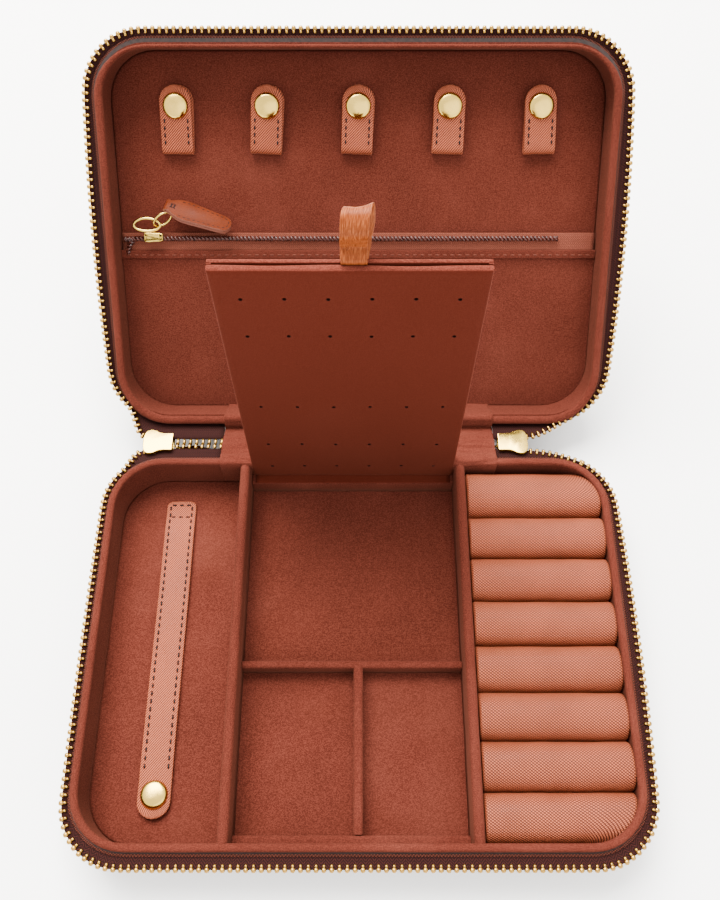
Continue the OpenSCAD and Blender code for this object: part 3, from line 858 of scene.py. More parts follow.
# outline points where the open rows leave it for their runs into the sliders
CUT_RIGHT = FRONT_N // 2 + 3
CUT_LEFT = len(plan()) - FRONT_N // 2 - 5
MOUTH = {"left": box("slider_left")[0].x, "right": box("slider_right")[1].x}
NARROW = {"left": box("slider_left")[1].x, "right": box("slider_right")[0].x}
ROW_APART = 3.7  # each open row's distance from the middle line at a slider's mouth
CHAIN_ROW = 1.15  # and each closed row's
RIM_REACH = 2.4
TAPE_Z, TAPE_HALF_T = -2.25, 0.16
SPINE_HALF = box("spine_lining")[1].x


def hermite(p0, t0, p1, t1, n=14):
    """A smooth path from p0, leaving along t0, to p1, arriving along t1."""
    p0, t0, p1, t1 = (np.asarray(a, float) for a in (p0, t0, p1, t1))
    reach = np.linalg.norm(p1 - p0)
    t = np.linspace(0, 1, n)[:, None]
    ends = (2 * t**3 - 3 * t**2 + 1) * p0 + (t**3 - 2 * t**2 + t) * reach * t0
    return ends + (3 * t**2 - 2 * t**3) * p1 + (t**3 - t**2) * reach * t1


def unit(v):
    v = np.asarray(v, float)
    return v / np.linalg.norm(v)


def placed(place, points):
    m = np.array(place)
    return np.asarray(points, float) @ m[:3, :3].T + m[:3, 3]


def turned(place, v):
    return unit(np.array(place)[:3, :3] @ np.asarray(v, float))


def tooth_rings():
    """One metal tooth: its legs clamp the tape's edge and its head points outwards."""
    legs = superellipsoid((0.5, 0.7, 0.9), n=8, m=3, power=0.5) + np.array([0, -1.0, 0])
    head = superellipsoid((0.98, 1.05, 1.1), n=10, m=4, power=0.85) + np.array([0, 0.3, 0])
    return legs, head


TOOTH = tooth_rings()
RUN_TOOTH = (
    superellipsoid((0.5, 1.35, 0.9), n=8, m=3, power=0.5) - np.array([0, 0.5, 0]),
    superellipsoid((0.85, 0.9, 1.05), n=10, m=4, power=0.85) + np.array([0, 0.45, 0]),
)
CHAIN_TOOTH = (superellipsoid((0.54, 1.5, 1.0), n=10, m=4, power=0.42),)


def teeth(build, path, ups, start=0.5, shapes=TOOTH):
    """Teeth at the zip's pitch along a path; ups gives the way out of the tape at each path point."""
    path, ups = np.asarray(path, float), np.asarray(ups, float)
    along = distances(path)
    stops = np.arange(start * TOOTH_PITCH, along[-1], TOOTH_PITCH)
    heading = sample(stops + 0.3, along, path) - sample(stops - 0.3, along, path)
    for part in shapes:
        scatter(build, part, sample(stops, along, path), heading, sample(stops, along, ups))
    return build


def zip_half(body, place):
    """Tape and teeth of one half, from corner to corner round the front, and its two runs."""
    sign = 1 if body == "base" else -1
    spine_up = turned(SPINE, (0, 0, 1))
    shell_up = turned(place, (0, 0, 1))
    keep = slice(CUT_RIGHT, CUT_LEFT + 1)
    line = np.column_stack([zip_plan(body)[keep], np.full(CUT_LEFT + 1 - CUT_RIGHT, TEETH_Z)])
    path = placed(place, line)
    if body == "lid":
        path = path[::-1]
    build = teeth(Build(), path, np.broadcast_to(shell_up, path.shape), start=0.2)
    put(build.make(body + "_teeth", MAT["brass_teeth"]), body, "brass", body + "_zip_teeth")

    # the tape's section: under from the rim to the teeth, then back over
    under = ((0, -3.4), (0.15, -3.5), (0.5, -3.2), (0.85, -2.4), (1, -2.1))
    over = ((1, -1.6), (0.85, -1.95), (0.5, -2.8), (0.15, -3.1), (0, -3.0))
    a, b = plan(grow=1.6)[keep], zip_plan(body, 0.25)[keep]
    across = [np.column_stack([a + (b - a) * t, np.full(len(a), z)]) for t, z in under + over]
    tape = Build().grid(across, wrap_u=True).make(body + "_tape", MAT["tape"], place)
    put(tape, body, "zip_tape", body + "_zip_tape")

    for side in ("left", "right"):
        zip_run(body, place, side, sign, shell_up, spine_up)


def rim_back(x):
    """The outer edge of the rim along the back: its y at some x, in shell measures."""
    r = CORNER_R + RIM_REACH
    past = max(0.0, abs(x) - (HALF_X - CORNER_R))
    return HALF_Y - CORNER_R + math.sqrt(r * r - past * past)


def zip_run(body, place, side, sign, shell_up, spine_up):
    """The row of teeth and its tape between a corner and a slider, and the tape beside the closed chain."""
    out = -1 if side == "left" else 1
    index = CUT_LEFT if side == "left" else CUT_RIGHT
    line = zip_plan(body)
    ring = np.column_stack([line, np.full(len(line), TEETH_Z)])
    corner = placed(place, ring[index : index + 1])[0]
    inward_step = 1 if side == "left" else -1
    heading = unit(placed(place, ring[index + inward_step : index + inward_step + 1])[0] - corner)
    mouth = np.array(at(SPINE, MOUTH[side] - out * 0.8, -sign * ROW_APART, 0))
    row = hermite(corner, heading, mouth, (-out, 0, 0))
    t = np.linspace(0, 1, len(row))[:, None]
    ups = shell_up * (1 - t) + spine_up * t
    # the row is walked so that the heads point away from the wall
    walk = slice(None) if (side == "left") == (body == "base") else slice(None, None, -1)
    build = teeth(Build(), row[walk], ups[walk], start=0.75, shapes=RUN_TOOTH)
    teeth_obj = build.make(f"{body}_teeth_{side}", MAT["brass_teeth"])

    narrow = np.array(at(SPINE, NARROW[side], -sign * 2.5, 0))
    last = np.array(at(SPINE, out * (SPINE_HALF + 0.2), -sign * 2.5, 0))
    edge = np.concatenate([row, np.linspace(row[-1], narrow, 5)[1:], np.linspace(narrow, last, 8)[1:]])
    stations = []
    for k, e in enumerate(edge):
        x = min(max(e[0], -HALF_X - 2), HALF_X + 2)
        anchor = np.array(at(place, x, rim_back(x) + (LID_BACK_OUT - 0.4 if body == "lid" else 0), TAPE_Z))
        towards = unit(anchor - e)
        up = unit(shell_up + spine_up)
        outer = e - towards * (0.25 if k < len(row) else 0.0)
        section = []
        for thick, order in ((TAPE_HALF_T, (0, 0.3, 0.7, 1)), (-TAPE_HALF_T, (1, 0.7, 0.3, 0))):
            for f in order:
                sag = -0.7 * math.sin(math.pi * f) - 0.9 * (1 - f)
                section.append(anchor + (outer - anchor) * f + up * (thick + sag))
        stations.append(section)
    tape = Build().grid(stations, wrap_v=True, caps=True).make(f"{body}_tape_{side}", MAT["tape"])
    held = at(place, 0, HALF_Y + RIM_REACH, TAPE_Z)
    middle = at(SPINE, 0, -sign * 1.5, 0)
    for obj, slot_name in ((teeth_obj, "brass"), (tape, "zip_tape")):
        hinge_blend(obj, body, slot_name, (0, held.y, held.z), middle)


zip_half("base", TRAY)
zip_half("lid", LID_SHELL)


def chain(side):
    """Closed teeth between a slider and the spine lining, the two rows set half a pitch apart."""
    lo, hi = box("zip_chain_" + side)
    near, far = (lo.x, hi.x + 1.5) if side == "left" else (lo.x - 1.5, hi.x)
    build = Build()
    for sign, shift in ((-1, 0.1), (1, 0.6)):
        row = [tuple(at(SPINE, x, sign * CHAIN_ROW, 0)) for x in (near, far)]
        if sign > 0:
            row = row[::-1]
        ups = np.broadcast_to(turned(SPINE, (0, 0, 1)), (2, 3))
        teeth(build, row, ups, start=shift, shapes=CHAIN_TOOTH)
    put(build.make("chain_teeth_" + side, MAT["brass_teeth"]), "spine", "brass", "zip_chain_" + side)


chain("left")
chain("right")


def slider_plan():
    """Half of a slider's outline from its mouth to its narrow end, then the other half."""
    half = curve([(0, 0, 0), (0.12, 2.6, 0), (0.9, 5.0, 0), (2.6, 6.1, 0), (4.8, 5.9, 0), (7.0, 4.8, 0),
        (9.0, 4.4, 0), (12.6, 4.4, 0)], 5)[:, :2]
    half = np.concatenate([half, arc(12.7, 3.9, 0.5, 90, 0, 4)])
    other = half[1:][::-1] * np.array([1, -1])
    return np.concatenate([half, other])


def slider(side):
    """Zip slider: two crowned plates with turned-in flanges, a post at the mouth, and a bail outside."""
    out = -1 if side == "left" else 1
    place = SPINE @ move(MOUTH[side], 0, 0) @ Matrix.Diagonal((-out, 1, 1, 1))
    loop = slider_plan()
    build = Build()
    for z in (1, -1):
        lo, hi = sorted((z * 1.55, z * 2.5))
        plate(build, loop, lo, hi, 0.32)
    for y in (1, -1):
        rail = np.array([p for p in loop if p[1] * y > 3.4 and p[0] < 12.9])
        for z in (1, -1):
            a = np.column_stack([offset_rail(rail, 0.1, y), np.full(len(rail), z * 1.7)])
            b = np.column_stack([offset_rail(rail, 1.0, y), np.full(len(rail), z * 1.7)])
            c, d = a * [1, 1, 0] + [0, 0, z * 0.62], b * [1, 1, 0] + [0, 0, z * 0.62]
            build.grid(np.stack([a, b, d, c], 1), wrap_v=True, caps=True)
    wedge = [(0.6, -0.5), (2.8, -0.25), (2.8, 0.25), (0.6, 0.5)]
    plate(build, wedge, -1.7, 1.7, 0.1, steps=1)
    bail = curve([(4.4, 0, -2.3), (5.0, 0, -3.9), (7.5, 0, -4.3 - 0.35), (9.6, 0, -3.9), (10.2, 0, -2.3)],
        6)
    for y in (-1.9, 1.9):
        tube(build, bail + np.array([0, y, 0]), 0.5, 8)
    tube(build, [(7.5, y, -4.3) for y in (-2.6, -1.0, 1.0, 2.6)], 0.55, 12)
    obj = build.make("zip_slider_" + side, MAT["brass"], place)
    put(sharp(obj, 45), "slider_" + side, "brass", "slider_" + side)


def offset_rail(rail, amount, y):
    """An open outline moved towards the middle line."""
    d = np.gradient(rail, axis=0)
    d = units(d)
    normal = np.stack([d[:, 1], -d[:, 0]], 1)
    return rail + amount * normal * np.sign((normal @ np.array([0, -y])).mean())


slider("left")
slider("right")

# ---- boards, dividers and ring rolls in the tray ----


def wrapped_bar(build, a, b, half, z0, z1, top_r, end_r=0.8, seed=1):
    """A suede-wrapped board standing from a to b in plan, its top edges and ends rounded."""
    a, b = np.array(a, float), np.array(b, float)
    d, length = unit(b - a), np.linalg.norm(b - a)
    side = np.array([-d[1], d[0]])
    near = end_r * np.linspace(0, 1, 5)
    stops = np.concatenate([near, np.linspace(end_r, length - end_r, 46)[1:-1], length - near[::-1]])
    rows = []
    for t in stops:
        from_end = min(t, length - t)
        inset = end_r - math.sqrt(max(0.0, end_r**2 - max(0.0, end_r - from_end) ** 2))
        centre = a + d * t
        p = (*centre, z1)
        h = half - inset + 0.07 * wave(p, 23, seed)
        top = z1 - inset * 0.8 + 0.1 * wave(p, 35, seed + 4)
        r = min(top_r, h)
        section = [(-h, z0), (-h, (z0 + top) / 2)] + arc(-h + r, top - r, r, 180, 90, 6)
        section += arc(h - r, top - r, r, 90, 0, 6) + [(h, (z0 + top) / 2), (h, z0)]
        rows.append([(*(centre + side * w), z) for w, z in section])
    return build.grid(rows, wrap_v=True, caps=True)


for side_name in ("left", "right"):
    lo, hi = box("divider_" + side_name)
    mid = (lo.x + hi.x) / 2
    bar = wrapped_bar(Build(), (mid, lo.y), (mid, hi.y), (hi.x - lo.x) / 2 - 0.05, lo.z, hi.z - 0.1, 2.0,
        seed=len(side_name))
    put(bar.make("divider_suede_" + side_name, MAT["suede"]), "base", "suede", "divider_" + side_name)

lo, hi = box("low_divider")
cross_half, short_half = 1.6, 1.9
build = wrapped_bar(Build(), (lo.x, hi.y - cross_half), (hi.x, hi.y - cross_half), cross_half, lo.z,
    hi.z - 0.1, 1.3, 0.5, seed=2)
wrapped_bar(build, (0, lo.y), (0, hi.y - cross_half), short_half, lo.z, hi.z - 0.05, 1.4, 0.5, seed=7)
put(build.make("low_divider_suede", MAT["suede"]), "base", "suede", "low_divider")

lo, hi = box("ledges")
front_deep, rear_deep = 4.0, 5.4
build = wrapped_bar(Build(), (lo.x, lo.y + front_deep / 2), (hi.x, lo.y + front_deep / 2), front_deep / 2,
    lo.z, hi.z - 0.1, 1.2, 0.5, seed=3)
wrapped_bar(build, (lo.x, hi.y - rear_deep / 2), (hi.x, hi.y - rear_deep / 2), rear_deep / 2, lo.z,
    hi.z - 0.1, 1.2, 0.5, seed=5)
put(build.make("ledges_suede", MAT["suede"]), "base", "suede", "ledges")


def wall_x(y, room=0.4):
    """How far right the tray's inner wall lets a piece reach at some y."""
    past = max(0.0, abs(y) - (HALF_Y - CORNER_R))
    return HALF_X - CORNER_R + math.sqrt(max(0.0, CORNER_R**2 - past * past)) - room


def ring_roll(i):
    """A padded leather roll, squeezed a little square by its neighbours, its ends cut straight."""
    lo, hi = box(f"ring_roll_{i}")
    cy, cz, ry, rz = (lo.y + hi.y) / 2, (lo.z + hi.z) / 2, (hi.y - lo.y) / 2 + 0.03, (hi.z - lo.z) / 2
    rng = np.random.default_rng(40 + i)
    x0, x1 = lo.x + 0.1, HALF_X - 0.35
    end_l, end_r = 0.8, 1.2
    lift, lean = rng.uniform(-0.25, 0.2), rng.uniform(-0.3, 0.3)
    length = x1 - x0
    stops = np.concatenate([end_l * (1 - np.cos(np.linspace(0, math.pi / 2, 9))),
        np.linspace(end_l, length - end_r, 34)[1:-1],
                            length - end_r * (1 - np.cos(np.linspace(math.pi / 2, 0, 8)))])
    around = np.linspace(0, 2 * math.pi, 64, endpoint=False)
    rows = []
    for t in stops:
        s = 1.0
        for gone, e in ((t, end_l), (length - t, end_r)):
            if gone < e:
                s = min(s, 1 - 0.09 * (1 - gone / e) ** 2)
        row = []
        for a in around:
            c, n = math.cos(a), math.sin(a)
            y = ry * math.copysign(abs(c) ** 0.86, c)
            z = rz * math.copysign(abs(n) ** 0.9, n)
            pleat = 0.05 * math.sin(7 * a + i) * math.exp(-((min(t, length - t) - 3) / 2.5) ** 2)
            p = (x0 + t, cy + y * 0.6, cz + z * 0.6 + i * 40)
            swell = s * (1 + 0.010 * float(wave(p, 26, i)) + 0.006 * float(wave(p, 11, i + 2))) + pleat / rz
            y, z = y * swell, z * swell
            if z > 0:
                z += lift * s * (z / rz) + lean * 0.3 * math.sin(math.pi * t / length) * (z / rz)
            if i == 1 and y > 0:
                y *= 1 + 2.5 / ry
            y, z = cy + y, max(cz + z, FLOOR + 0.02)
            limit = wall_x(y)
            x = x0 + t
            if x > 80:
                x = 80 + (x - 80) * (limit - 80) / (x1 - 80)
            row.append((x, y, z))
        rows.append(row)
    obj = Build().grid(rows, wrap_v=True, caps=True).make(f"ring_roll_leather_{i}", MAT["saffiano_roll"])
    put(sharp(obj, 50), "base", "saffiano", f"ring_roll_{i}")


for i in range(1, 9):
    ring_roll(i)

# ---- leather straps and tabs ----


def strip(build, path, side, half, thick, edge=0.3, across=6):
    """A flat band along a path; half is its half width at each point and side the way across it."""
    p = np.asarray(path, float)
    d = units(np.gradient(p, axis=0))
    side = np.broadcast_to(np.asarray(side, float), p.shape)
    side = side - d * (side * d).sum(1)[:, None]
    side = units(side)
    up = np.cross(side, d)
    half = np.broadcast_to(half, (len(p),))
    rows = []
    for i in range(len(p)):
        w, h = half[i], thick / 2
        e = min(edge, w * 0.6, h)
        flat = [(x * (w - e), h) for x in np.linspace(-1, 1, across)]
        right = [(w - 0.3 * e, h - 0.3 * e), (w, h - e), (w, e - h), (w - 0.3 * e, 0.3 * e - h)]
        section = flat + right + [(-x, -z) for x, z in flat + right]
        rows.append([p[i] + side[i] * a + up[i] * b for a, b in section])
    return build.grid(rows, wrap_v=True, caps=True)


def end_widths(along, total, half, start_round, end_round):
    """Half widths that round off a band's ends."""
    w = []
    for t in along:
        v = half
        for gone, on in ((t, start_round), (total - t, end_round)):
            if on and gone < half:
                v = min(v, math.sqrt(max(0.0, half**2 - (half - gone) ** 2)))
        w.append(max(v, 0.25))
    return np.array(w)


def with_round_ends(path, half, start_round, end_round, pitch):
    """Resamples a path finely enough at its rounded ends, with the half width at each point."""
    p = np.asarray(path, float)
    seg = distances(p)
    total = seg[-1]
    ends = half * (1 - np.cos(np.linspace(0, math.pi / 2, 12)))
    t0 = half if start_round else 0.0
    t1 = total - half if end_round else total
    stops = np.linspace(t0, t1, max(2, int((t1 - t0) / pitch)))
    if start_round:
        stops = np.concatenate([ends[:-1], stops])
    if end_round:
        stops = np.concatenate([stops, (total - ends[:-1])[::-1]])
    q = sample(stops, seg, p)
    return q, end_widths(stops, total, half, start_round, end_round)


def snap_cap(build, r=5.35, h=2.2):
    """Domed snap cap with a rolled edge."""
    edge = [(r - 0.45, 0), (r - 0.1, 0.06), (r, 0.3), (r - 0.07, 0.52), (r - 0.22, 0.66)]
    dome = []
    for k in range(1, 12):
        a = k / 11 * math.pi / 2
        dome.append(((r - 0.3) * math.cos(a) ** 0.8 + 0.05, 0.72 + (h - 0.72) * math.sin(a) ** 0.9))
    return lathe(build, edge + dome, 56)


def snap_socket(build, r=3.4):
    """The socket under a cap: a ring round the hole that grips the stud."""
    return lathe(build, [(1.5, 0.25), (1.5, 0), (r - 0.4, 0), (r, 0.15), (r, 0.3)], 36)


def snap_stud(build, r, h):
    """Stud half of a snap: a flange and a waisted post."""
    post = 0.42 * r
    return lathe(build, [(r, 0), (r, 0.1), (r * 0.9, min(0.3, h * 0.5)), (post, min(0.4, h * 0.55)),
        (post * 0.9, h * 0.75), (post, h * 0.9), (post * 0.7, h)], 40)


def strap():
    """Snap strap across the left compartment: sewn down at the back, its free end over a stud."""
    lo, hi = box("strap")
    back = box("strap_end")[1].y
    x, half, thick = (lo.x + hi.x) / 2, (hi.x - lo.x) / 2 - 0.55, 1.55
    mid = (lo.z + hi.z) / 2
    height = curve([(0, back, FLOOR + 0.85), (0, back - 6, FLOOR + 0.9), (0, 50, mid - 0.05),
        (0, 24, mid - 0.2), (0, -8, mid - 0.35), (0, -40, mid - 0.1), (0, lo.y, mid + 0.1)], 8)
    path = [(x + 0.15 * math.sin(p[1] / 21), p[1], p[2]) for p in height]
    q, w = with_round_ends(path, half, False, True, 2.2)
    corner = 2.6
    first = corner * (1 - np.cos(np.linspace(0, math.pi / 2, 7)))
    head = np.column_stack([np.full(7, q[0][0]), q[0][1] - first, np.full(7, q[0][2])])
    beyond = np.array([p for p in q if p[1] < q[0][1] - corner - 0.2])
    square = [half - corner + math.sqrt(max(0.02, corner**2 - (corner - t) ** 2)) for t in first]
    w = np.concatenate([square, w[len(q) - len(beyond):]])
    q = np.concatenate([head, beyond])
    obj = strip(Build(), q, (1, 0, 0), w, thick, across=8).make("strap_leather", MAT["saffiano"])
    cap = box("strap_cap")
    cap_mid = (cap[0] + cap[1]) / 2
    build = Build()
    in_edge = half - 1.75
    for edge in (-1, 1):
        row = [(p[0] + edge * in_edge, p[1], p[2] + thick / 2 + 0.06)
            for p in q if cap_mid.y + 8.5 < p[1] < back - 1.6]
        stitches(build, row, pitch=3.1, length=2.2, radius=0.43)
    for y in (back - 1.9, back - 7.6):
        row = [(x + side * in_edge, y, FLOOR + 0.88 + thick / 2 + 0.06) for side in (-1, -0.33, 0.33, 1)]
        stitches(build, row, pitch=3.1, length=2.2, radius=0.43)
    seam = build.make("strap_stitches", MAT["thread"])
    for piece, slot in ((obj, "saffiano"), (seam, "saffiano")):
        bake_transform(piece)
    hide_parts("strap", "strap_end")
    dome = snap_cap(Build()).make("strap_snap", MAT["brass"], move(cap_mid.x, cap_mid.y, cap[0].z))
    put(sharp(dome, 50), "strap", "brass", "strap_cap")
    socket = snap_socket(Build()).make("strap_socket", MAT["brass"], move(cap_mid.x, cap_mid.y, lo.z - 0.3))
    put(sharp(socket, 50), "strap", "brass")
    stud = box("strap_stud")
    low = snap_stud(Build(), (stud[1].x - stud[0].x) / 2, stud[1].z - stud[0].z)
    low = low.make("strap_stud_metal", MAT["brass"], move(cap_mid.x, cap_mid.y, stud[0].z))
    put(sharp(low, 50), "base", "brass", "strap_stud")


strap()

TAB_LOW, TAB_HIGH, TAB_CAP, TAB_HALF, TAB_T = 113.7, 139.2, 130.9, 6.6, 1.05
TAB_BACK_N, TAB_FRONT_N = -18.45, -14.85
TAB_PITCH = 38.4
TAB_TURN = (-0.4, -3.0, -2.2, -1.4, 1.0)


def tab(i):
    """Ring tab: a leather band doubled over at its foot, stitched there and snapped near its tip."""
    x = (i - 3) * TAB_PITCH
    bend = (TAB_BACK_N + TAB_FRONT_N) / 2
    r = (TAB_FRONT_N - TAB_BACK_N) / 2
    fold = [(x, TAB_LOW + 0.4 - r * math.sin(a) * 1.15, bend - r * math.cos(a))
        for a in np.linspace(0, math.pi, 14)]
    back = [(x + 0.5, TAB_HIGH + 0.3, TAB_BACK_N), (x + 0.3, TAB_HIGH - 12, TAB_BACK_N)]
    front = [(x, TAB_LOW + 8, TAB_FRONT_N + 0.05), (x - 0.1, TAB_CAP, TAB_FRONT_N - 0.02),
        (x - 0.2, TAB_HIGH, TAB_FRONT_N - 0.12)]
    q, w = with_round_ends(back + fold + front, TAB_HALF, True, True, 1.0)
    place = LID @ move(x, TAB_CAP, 0) @ turn(math.radians(TAB_TURN[i - 1]), "Z") @ move(-x, -TAB_CAP, 0)
    obj = strip(Build(), q, (1, 0, 0), w, TAB_T, across=7).make(f"tab_leather_{i}", MAT["saffiano"], place)
    build = Build()
    for edge in (-1, 1):
        row = [(x + edge * (TAB_HALF - 1.7), s, TAB_FRONT_N + TAB_T / 2 + 0.06)
            for s in np.linspace(TAB_LOW + 1.2, TAB_LOW + 12.6, 8)]
        stitches(build, row, pitch=2.9, length=2.1, radius=0.42)
    seam = build.make(f"tab_stitches_{i}", MAT["thread"], place)
    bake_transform(obj)
    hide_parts(f"tab_{i}")
    put(seam, f"tab_{i}", "saffiano")
    dome = snap_cap(Build()).make(f"tab_snap_{i}", MAT["brass"],
        LID @ move(x, TAB_CAP, TAB_FRONT_N + TAB_T / 2))
    put(sharp(dome, 50), f"tab_{i}", "brass", f"tab_cap_{i}")
    under = snap_socket(Build()).make(f"tab_socket_{i}", MAT["brass"],
        LID @ move(x, TAB_CAP, TAB_FRONT_N - TAB_T / 2 - 0.28))
    put(sharp(under, 50), f"tab_{i}", "brass")
    return obj


tabs = [tab(i) for i in range(1, 6)]
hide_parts("tab_1", "tab_backs")
build = Build()
for i in range(1, 6):
    start = len(build.verts)
    snap_stud(build, 3.0, TAB_FRONT_N - TAB_BACK_N - TAB_T - 0.4)
    moved = np.array(build.verts[start:]) + np.array(((i - 3) * TAB_PITCH, TAB_CAP, TAB_BACK_N + TAB_T / 2))
    build.verts[start:] = list(map(tuple, moved))
put(sharp(build.make("tab_stud_metal", MAT["brass"], LID), 50), "lid", "brass", "tab_studs")


# ---- earring panel and its ribbon ----

PANEL_FACE = PANEL @ turn(math.pi / 2, "X")
FRONT_T, SLIT, BACK_T, PANEL_FOOT = 3.0, 0.4, 1.6, 11.0
HOLE_D, HOLE_PITCH, HOLE_COLUMNS, HOLE_ROWS = 1.4, 14.0, 6, (9.9, 29.8, 60.3, 107.4, 127.8)
panel_lo, panel_hi = box("panel_front")
PANEL_X0, PANEL_X1 = panel_lo.x, panel_hi.x
PANEL_L = 141.9


def board_grid(build, x0, x1, y0, y1, z0, z1, nx=60, ny=90, edge=0.5, seed=1, swell=0.12, thin=None,
    gape=0.0):
    """A suede-wrapped board as a closed grid: softly uneven faces and rounded edges."""
    def stops(a, b, n):
        e = edge * np.array([0, 0.3, 1])
        return np.concatenate([a + e, np.linspace(a + edge, b - edge, n)[1:-1], (b - e)[::-1]])
    xs, ys = stops(x0, x1, nx), stops(y0, y1, ny)
    def inset(v, a, b):
        t = min(v - a, b - v)
        return edge - math.sqrt(max(0.0, edge**2 - max(0.0, edge - t) ** 2))
    rows = []
    for y in ys:
        top, low = [], []
        for x in xs:
            drop = max(inset(x, x0, x1), inset(y, y0, y1))
            bump = swell * float(wave((x, y, 0), 34, seed))
            top.append((x, y, z1 - drop + bump * min(1, (x - x0) / 3, (x1 - x) / 3)))
            under = z0
            if thin:
                under = thin[1] if y < thin[0] else z0
            near_top = max(0.0, 1 - (y1 - y) / 16) ** 2
            under += gape * (0.55 + 0.45 * float(wave((x, 0, 0), 37, seed + 3))) * near_top
            low.append((x, y, min(under + drop, z1 - drop - 0.1)))
        rows.append(top + low[::-1])
    return build.grid(rows, wrap_v=True, caps=True)


def edge_faces(obj, material, place, axis_limit=0.5):
    """Gives the faces along a board's or a leather's cut edge their own material: on the suede boards a
    lighter suede as a painted highlight, on the pulls the raw leather edge.
    """
    obj.data.materials.append(material)
    out = Vector(turned(place, (0, 0, 1)))
    for polygon in obj.data.polygons:
        if abs(polygon.normal.dot(out)) < axis_limit:
            polygon.material_index = 1
    return obj


def panel():
    """The pierced earring board, its edges in a lighter suede as a painted highlight, its pinholes' walls
    painted dark as painted shade, and the board glued behind it.
    """
    build = board_grid(Build(), PANEL_X0, PANEL_X1, 0.3, PANEL_L, -FRONT_T, 0, 58, 96, 0.8, 4,
        thin=(PANEL_FOOT, -1.1), gape=0.85)
    front = build.make("panel_front_board", MAT["suede_panel"], PANEL_FACE)
    pins = Build()
    mid = (PANEL_X0 + PANEL_X1) / 2
    for y in HOLE_ROWS:
        for k in range(HOLE_COLUMNS):
            x = mid + (k - (HOLE_COLUMNS - 1) / 2) * HOLE_PITCH
            tube(pins, [(x, y, z) for z in (-FRONT_T - 1, -2, -1, 1)], HOLE_D / 2, 14)
    cutter = pins.make("pinholes", MAT["suede_panel"], PANEL_FACE)
    cut = front.modifiers.new("pinholes", "BOOLEAN")
    cut.object, cut.solver = cutter, "EXACT"
    done = bpy.data.meshes.new_from_object(front.evaluated_get(bpy.context.evaluated_depsgraph_get()))
    front.modifiers.clear()
    front.data = done
    bpy.data.objects.remove(cutter)
    for polygon in front.data.polygons:
        polygon.use_smooth = True
    # painted highlight: the front board's edge faces get the lighter suede
    edge_faces(sharp(front, 50), MAT["suede_edge_painted_highlight"], PANEL_FACE)
    # painted shade: the pinholes' inner walls get the dark thread colour, standing in for the shade inside
    # the holes
    front.data.materials.append(MAT["thread"])
    face = (Matrix.Scale(MM, 4) @ PANEL_FACE).inverted()
    for polygon in front.data.polygons:
        c = face @ polygon.center
        near = min(abs(c.y - y) for y in HOLE_ROWS)
        column = (c.x - mid) / HOLE_PITCH + (HOLE_COLUMNS - 1) / 2
        in_row = near < HOLE_D / 2 + 0.05
        in_column = abs(column - round(column)) * HOLE_PITCH < HOLE_D / 2 + 0.05
        if in_row and in_column and -FRONT_T + 0.3 < c.z < -0.12:
            polygon.material_index = 2
    put(front, "panel", "suede", "panel_front")
    build = board_grid(Build(), PANEL_X0, PANEL_X1, PANEL_FOOT, PANEL_L - 0.2, -FRONT_T - SLIT - BACK_T,
        -FRONT_T - SLIT + 0.02, 58, 80, 0.4, 9)
    lip = 1.5
    for x in (PANEL_X0, PANEL_X1 - lip):
        board_grid(build, x, x + lip, PANEL_FOOT, PANEL_L - 0.3, -FRONT_T - SLIT, -FRONT_T + 0.02, 4, 80,
            0.15, 9, 0)
    back = build.make("panel_back_board", MAT["suede_panel"], PANEL_FACE)
    # painted highlight: the back board's edge faces get the lighter suede
    edge_faces(sharp(back, 50), MAT["suede_edge_painted_highlight"], PANEL_FACE)
    put(back, "panel", "suede", "panel_back")


panel()


def cloth_band(path, x0, x1, thick, nx=50, pitch=0.7, ripple=0.0, size=18, seed=0, creases=()):
    """A thin band of cloth or leather: path is its (y, z) line and it spans x0 to x1.
    creases are (place along the path, depth, width); the whole is softly rippled."""
    flat = np.array([(0, y, z) for y, z in path], float)
    q, d = resample(flat, pitch=pitch)
    up = np.column_stack([np.zeros(len(q)), -d[:, 2], d[:, 1]])
    along = distances(q)
    fade = np.minimum(1, np.minimum(along, along[-1] - along) / 3.0)
    rows = []
    for x in np.linspace(x0, x1, nx):
        p = np.column_stack([np.full(len(q), x), along, np.zeros(len(q))])
        lift = ripple * wave(p, size, seed) * fade
        for place, depth, width in creases:
            wander = 0.9 * math.sin(x / 13.0 + place) + 0.5 * math.sin(x / 4.7 + 2 * place)
            groove = np.exp(-(((along - place - wander) / width) ** 2))
            lift = lift - depth * groove * (0.65 + 0.35 * math.sin(x / 9.0 + 3 * place)) * fade
        mid = q + up * lift[:, None] + np.array([x, 0, 0])
        rows.append(np.concatenate([mid + up * thick / 2, (mid - up * thick / 2)[::-1]]))
    return Build().grid(rows, wrap_v=True, caps=True), float(along[-1])


low_top = box("ledges")[1].z
hinge = joint_at("panel_fold")
cloth_path = [(hinge.y - 3.4, low_top + 0.1), (hinge.y - 0.4, low_top + 0.12),
    (hinge.y + 1.0, low_top + 0.2), (hinge.y + 1.55, low_top + 0.9), (hinge.y + 1.68, low_top + 4),
    (hinge.y + 1.85, low_top + 9)]
build, cloth_l = cloth_band(cloth_path, PANEL_X0 + 1, PANEL_X1 - 1, 0.25, nx=40, pitch=0.5)
hinge_cloth = build.make("panel_hinge_cloth", MAT["suede_panel"])
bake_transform(hinge_cloth)


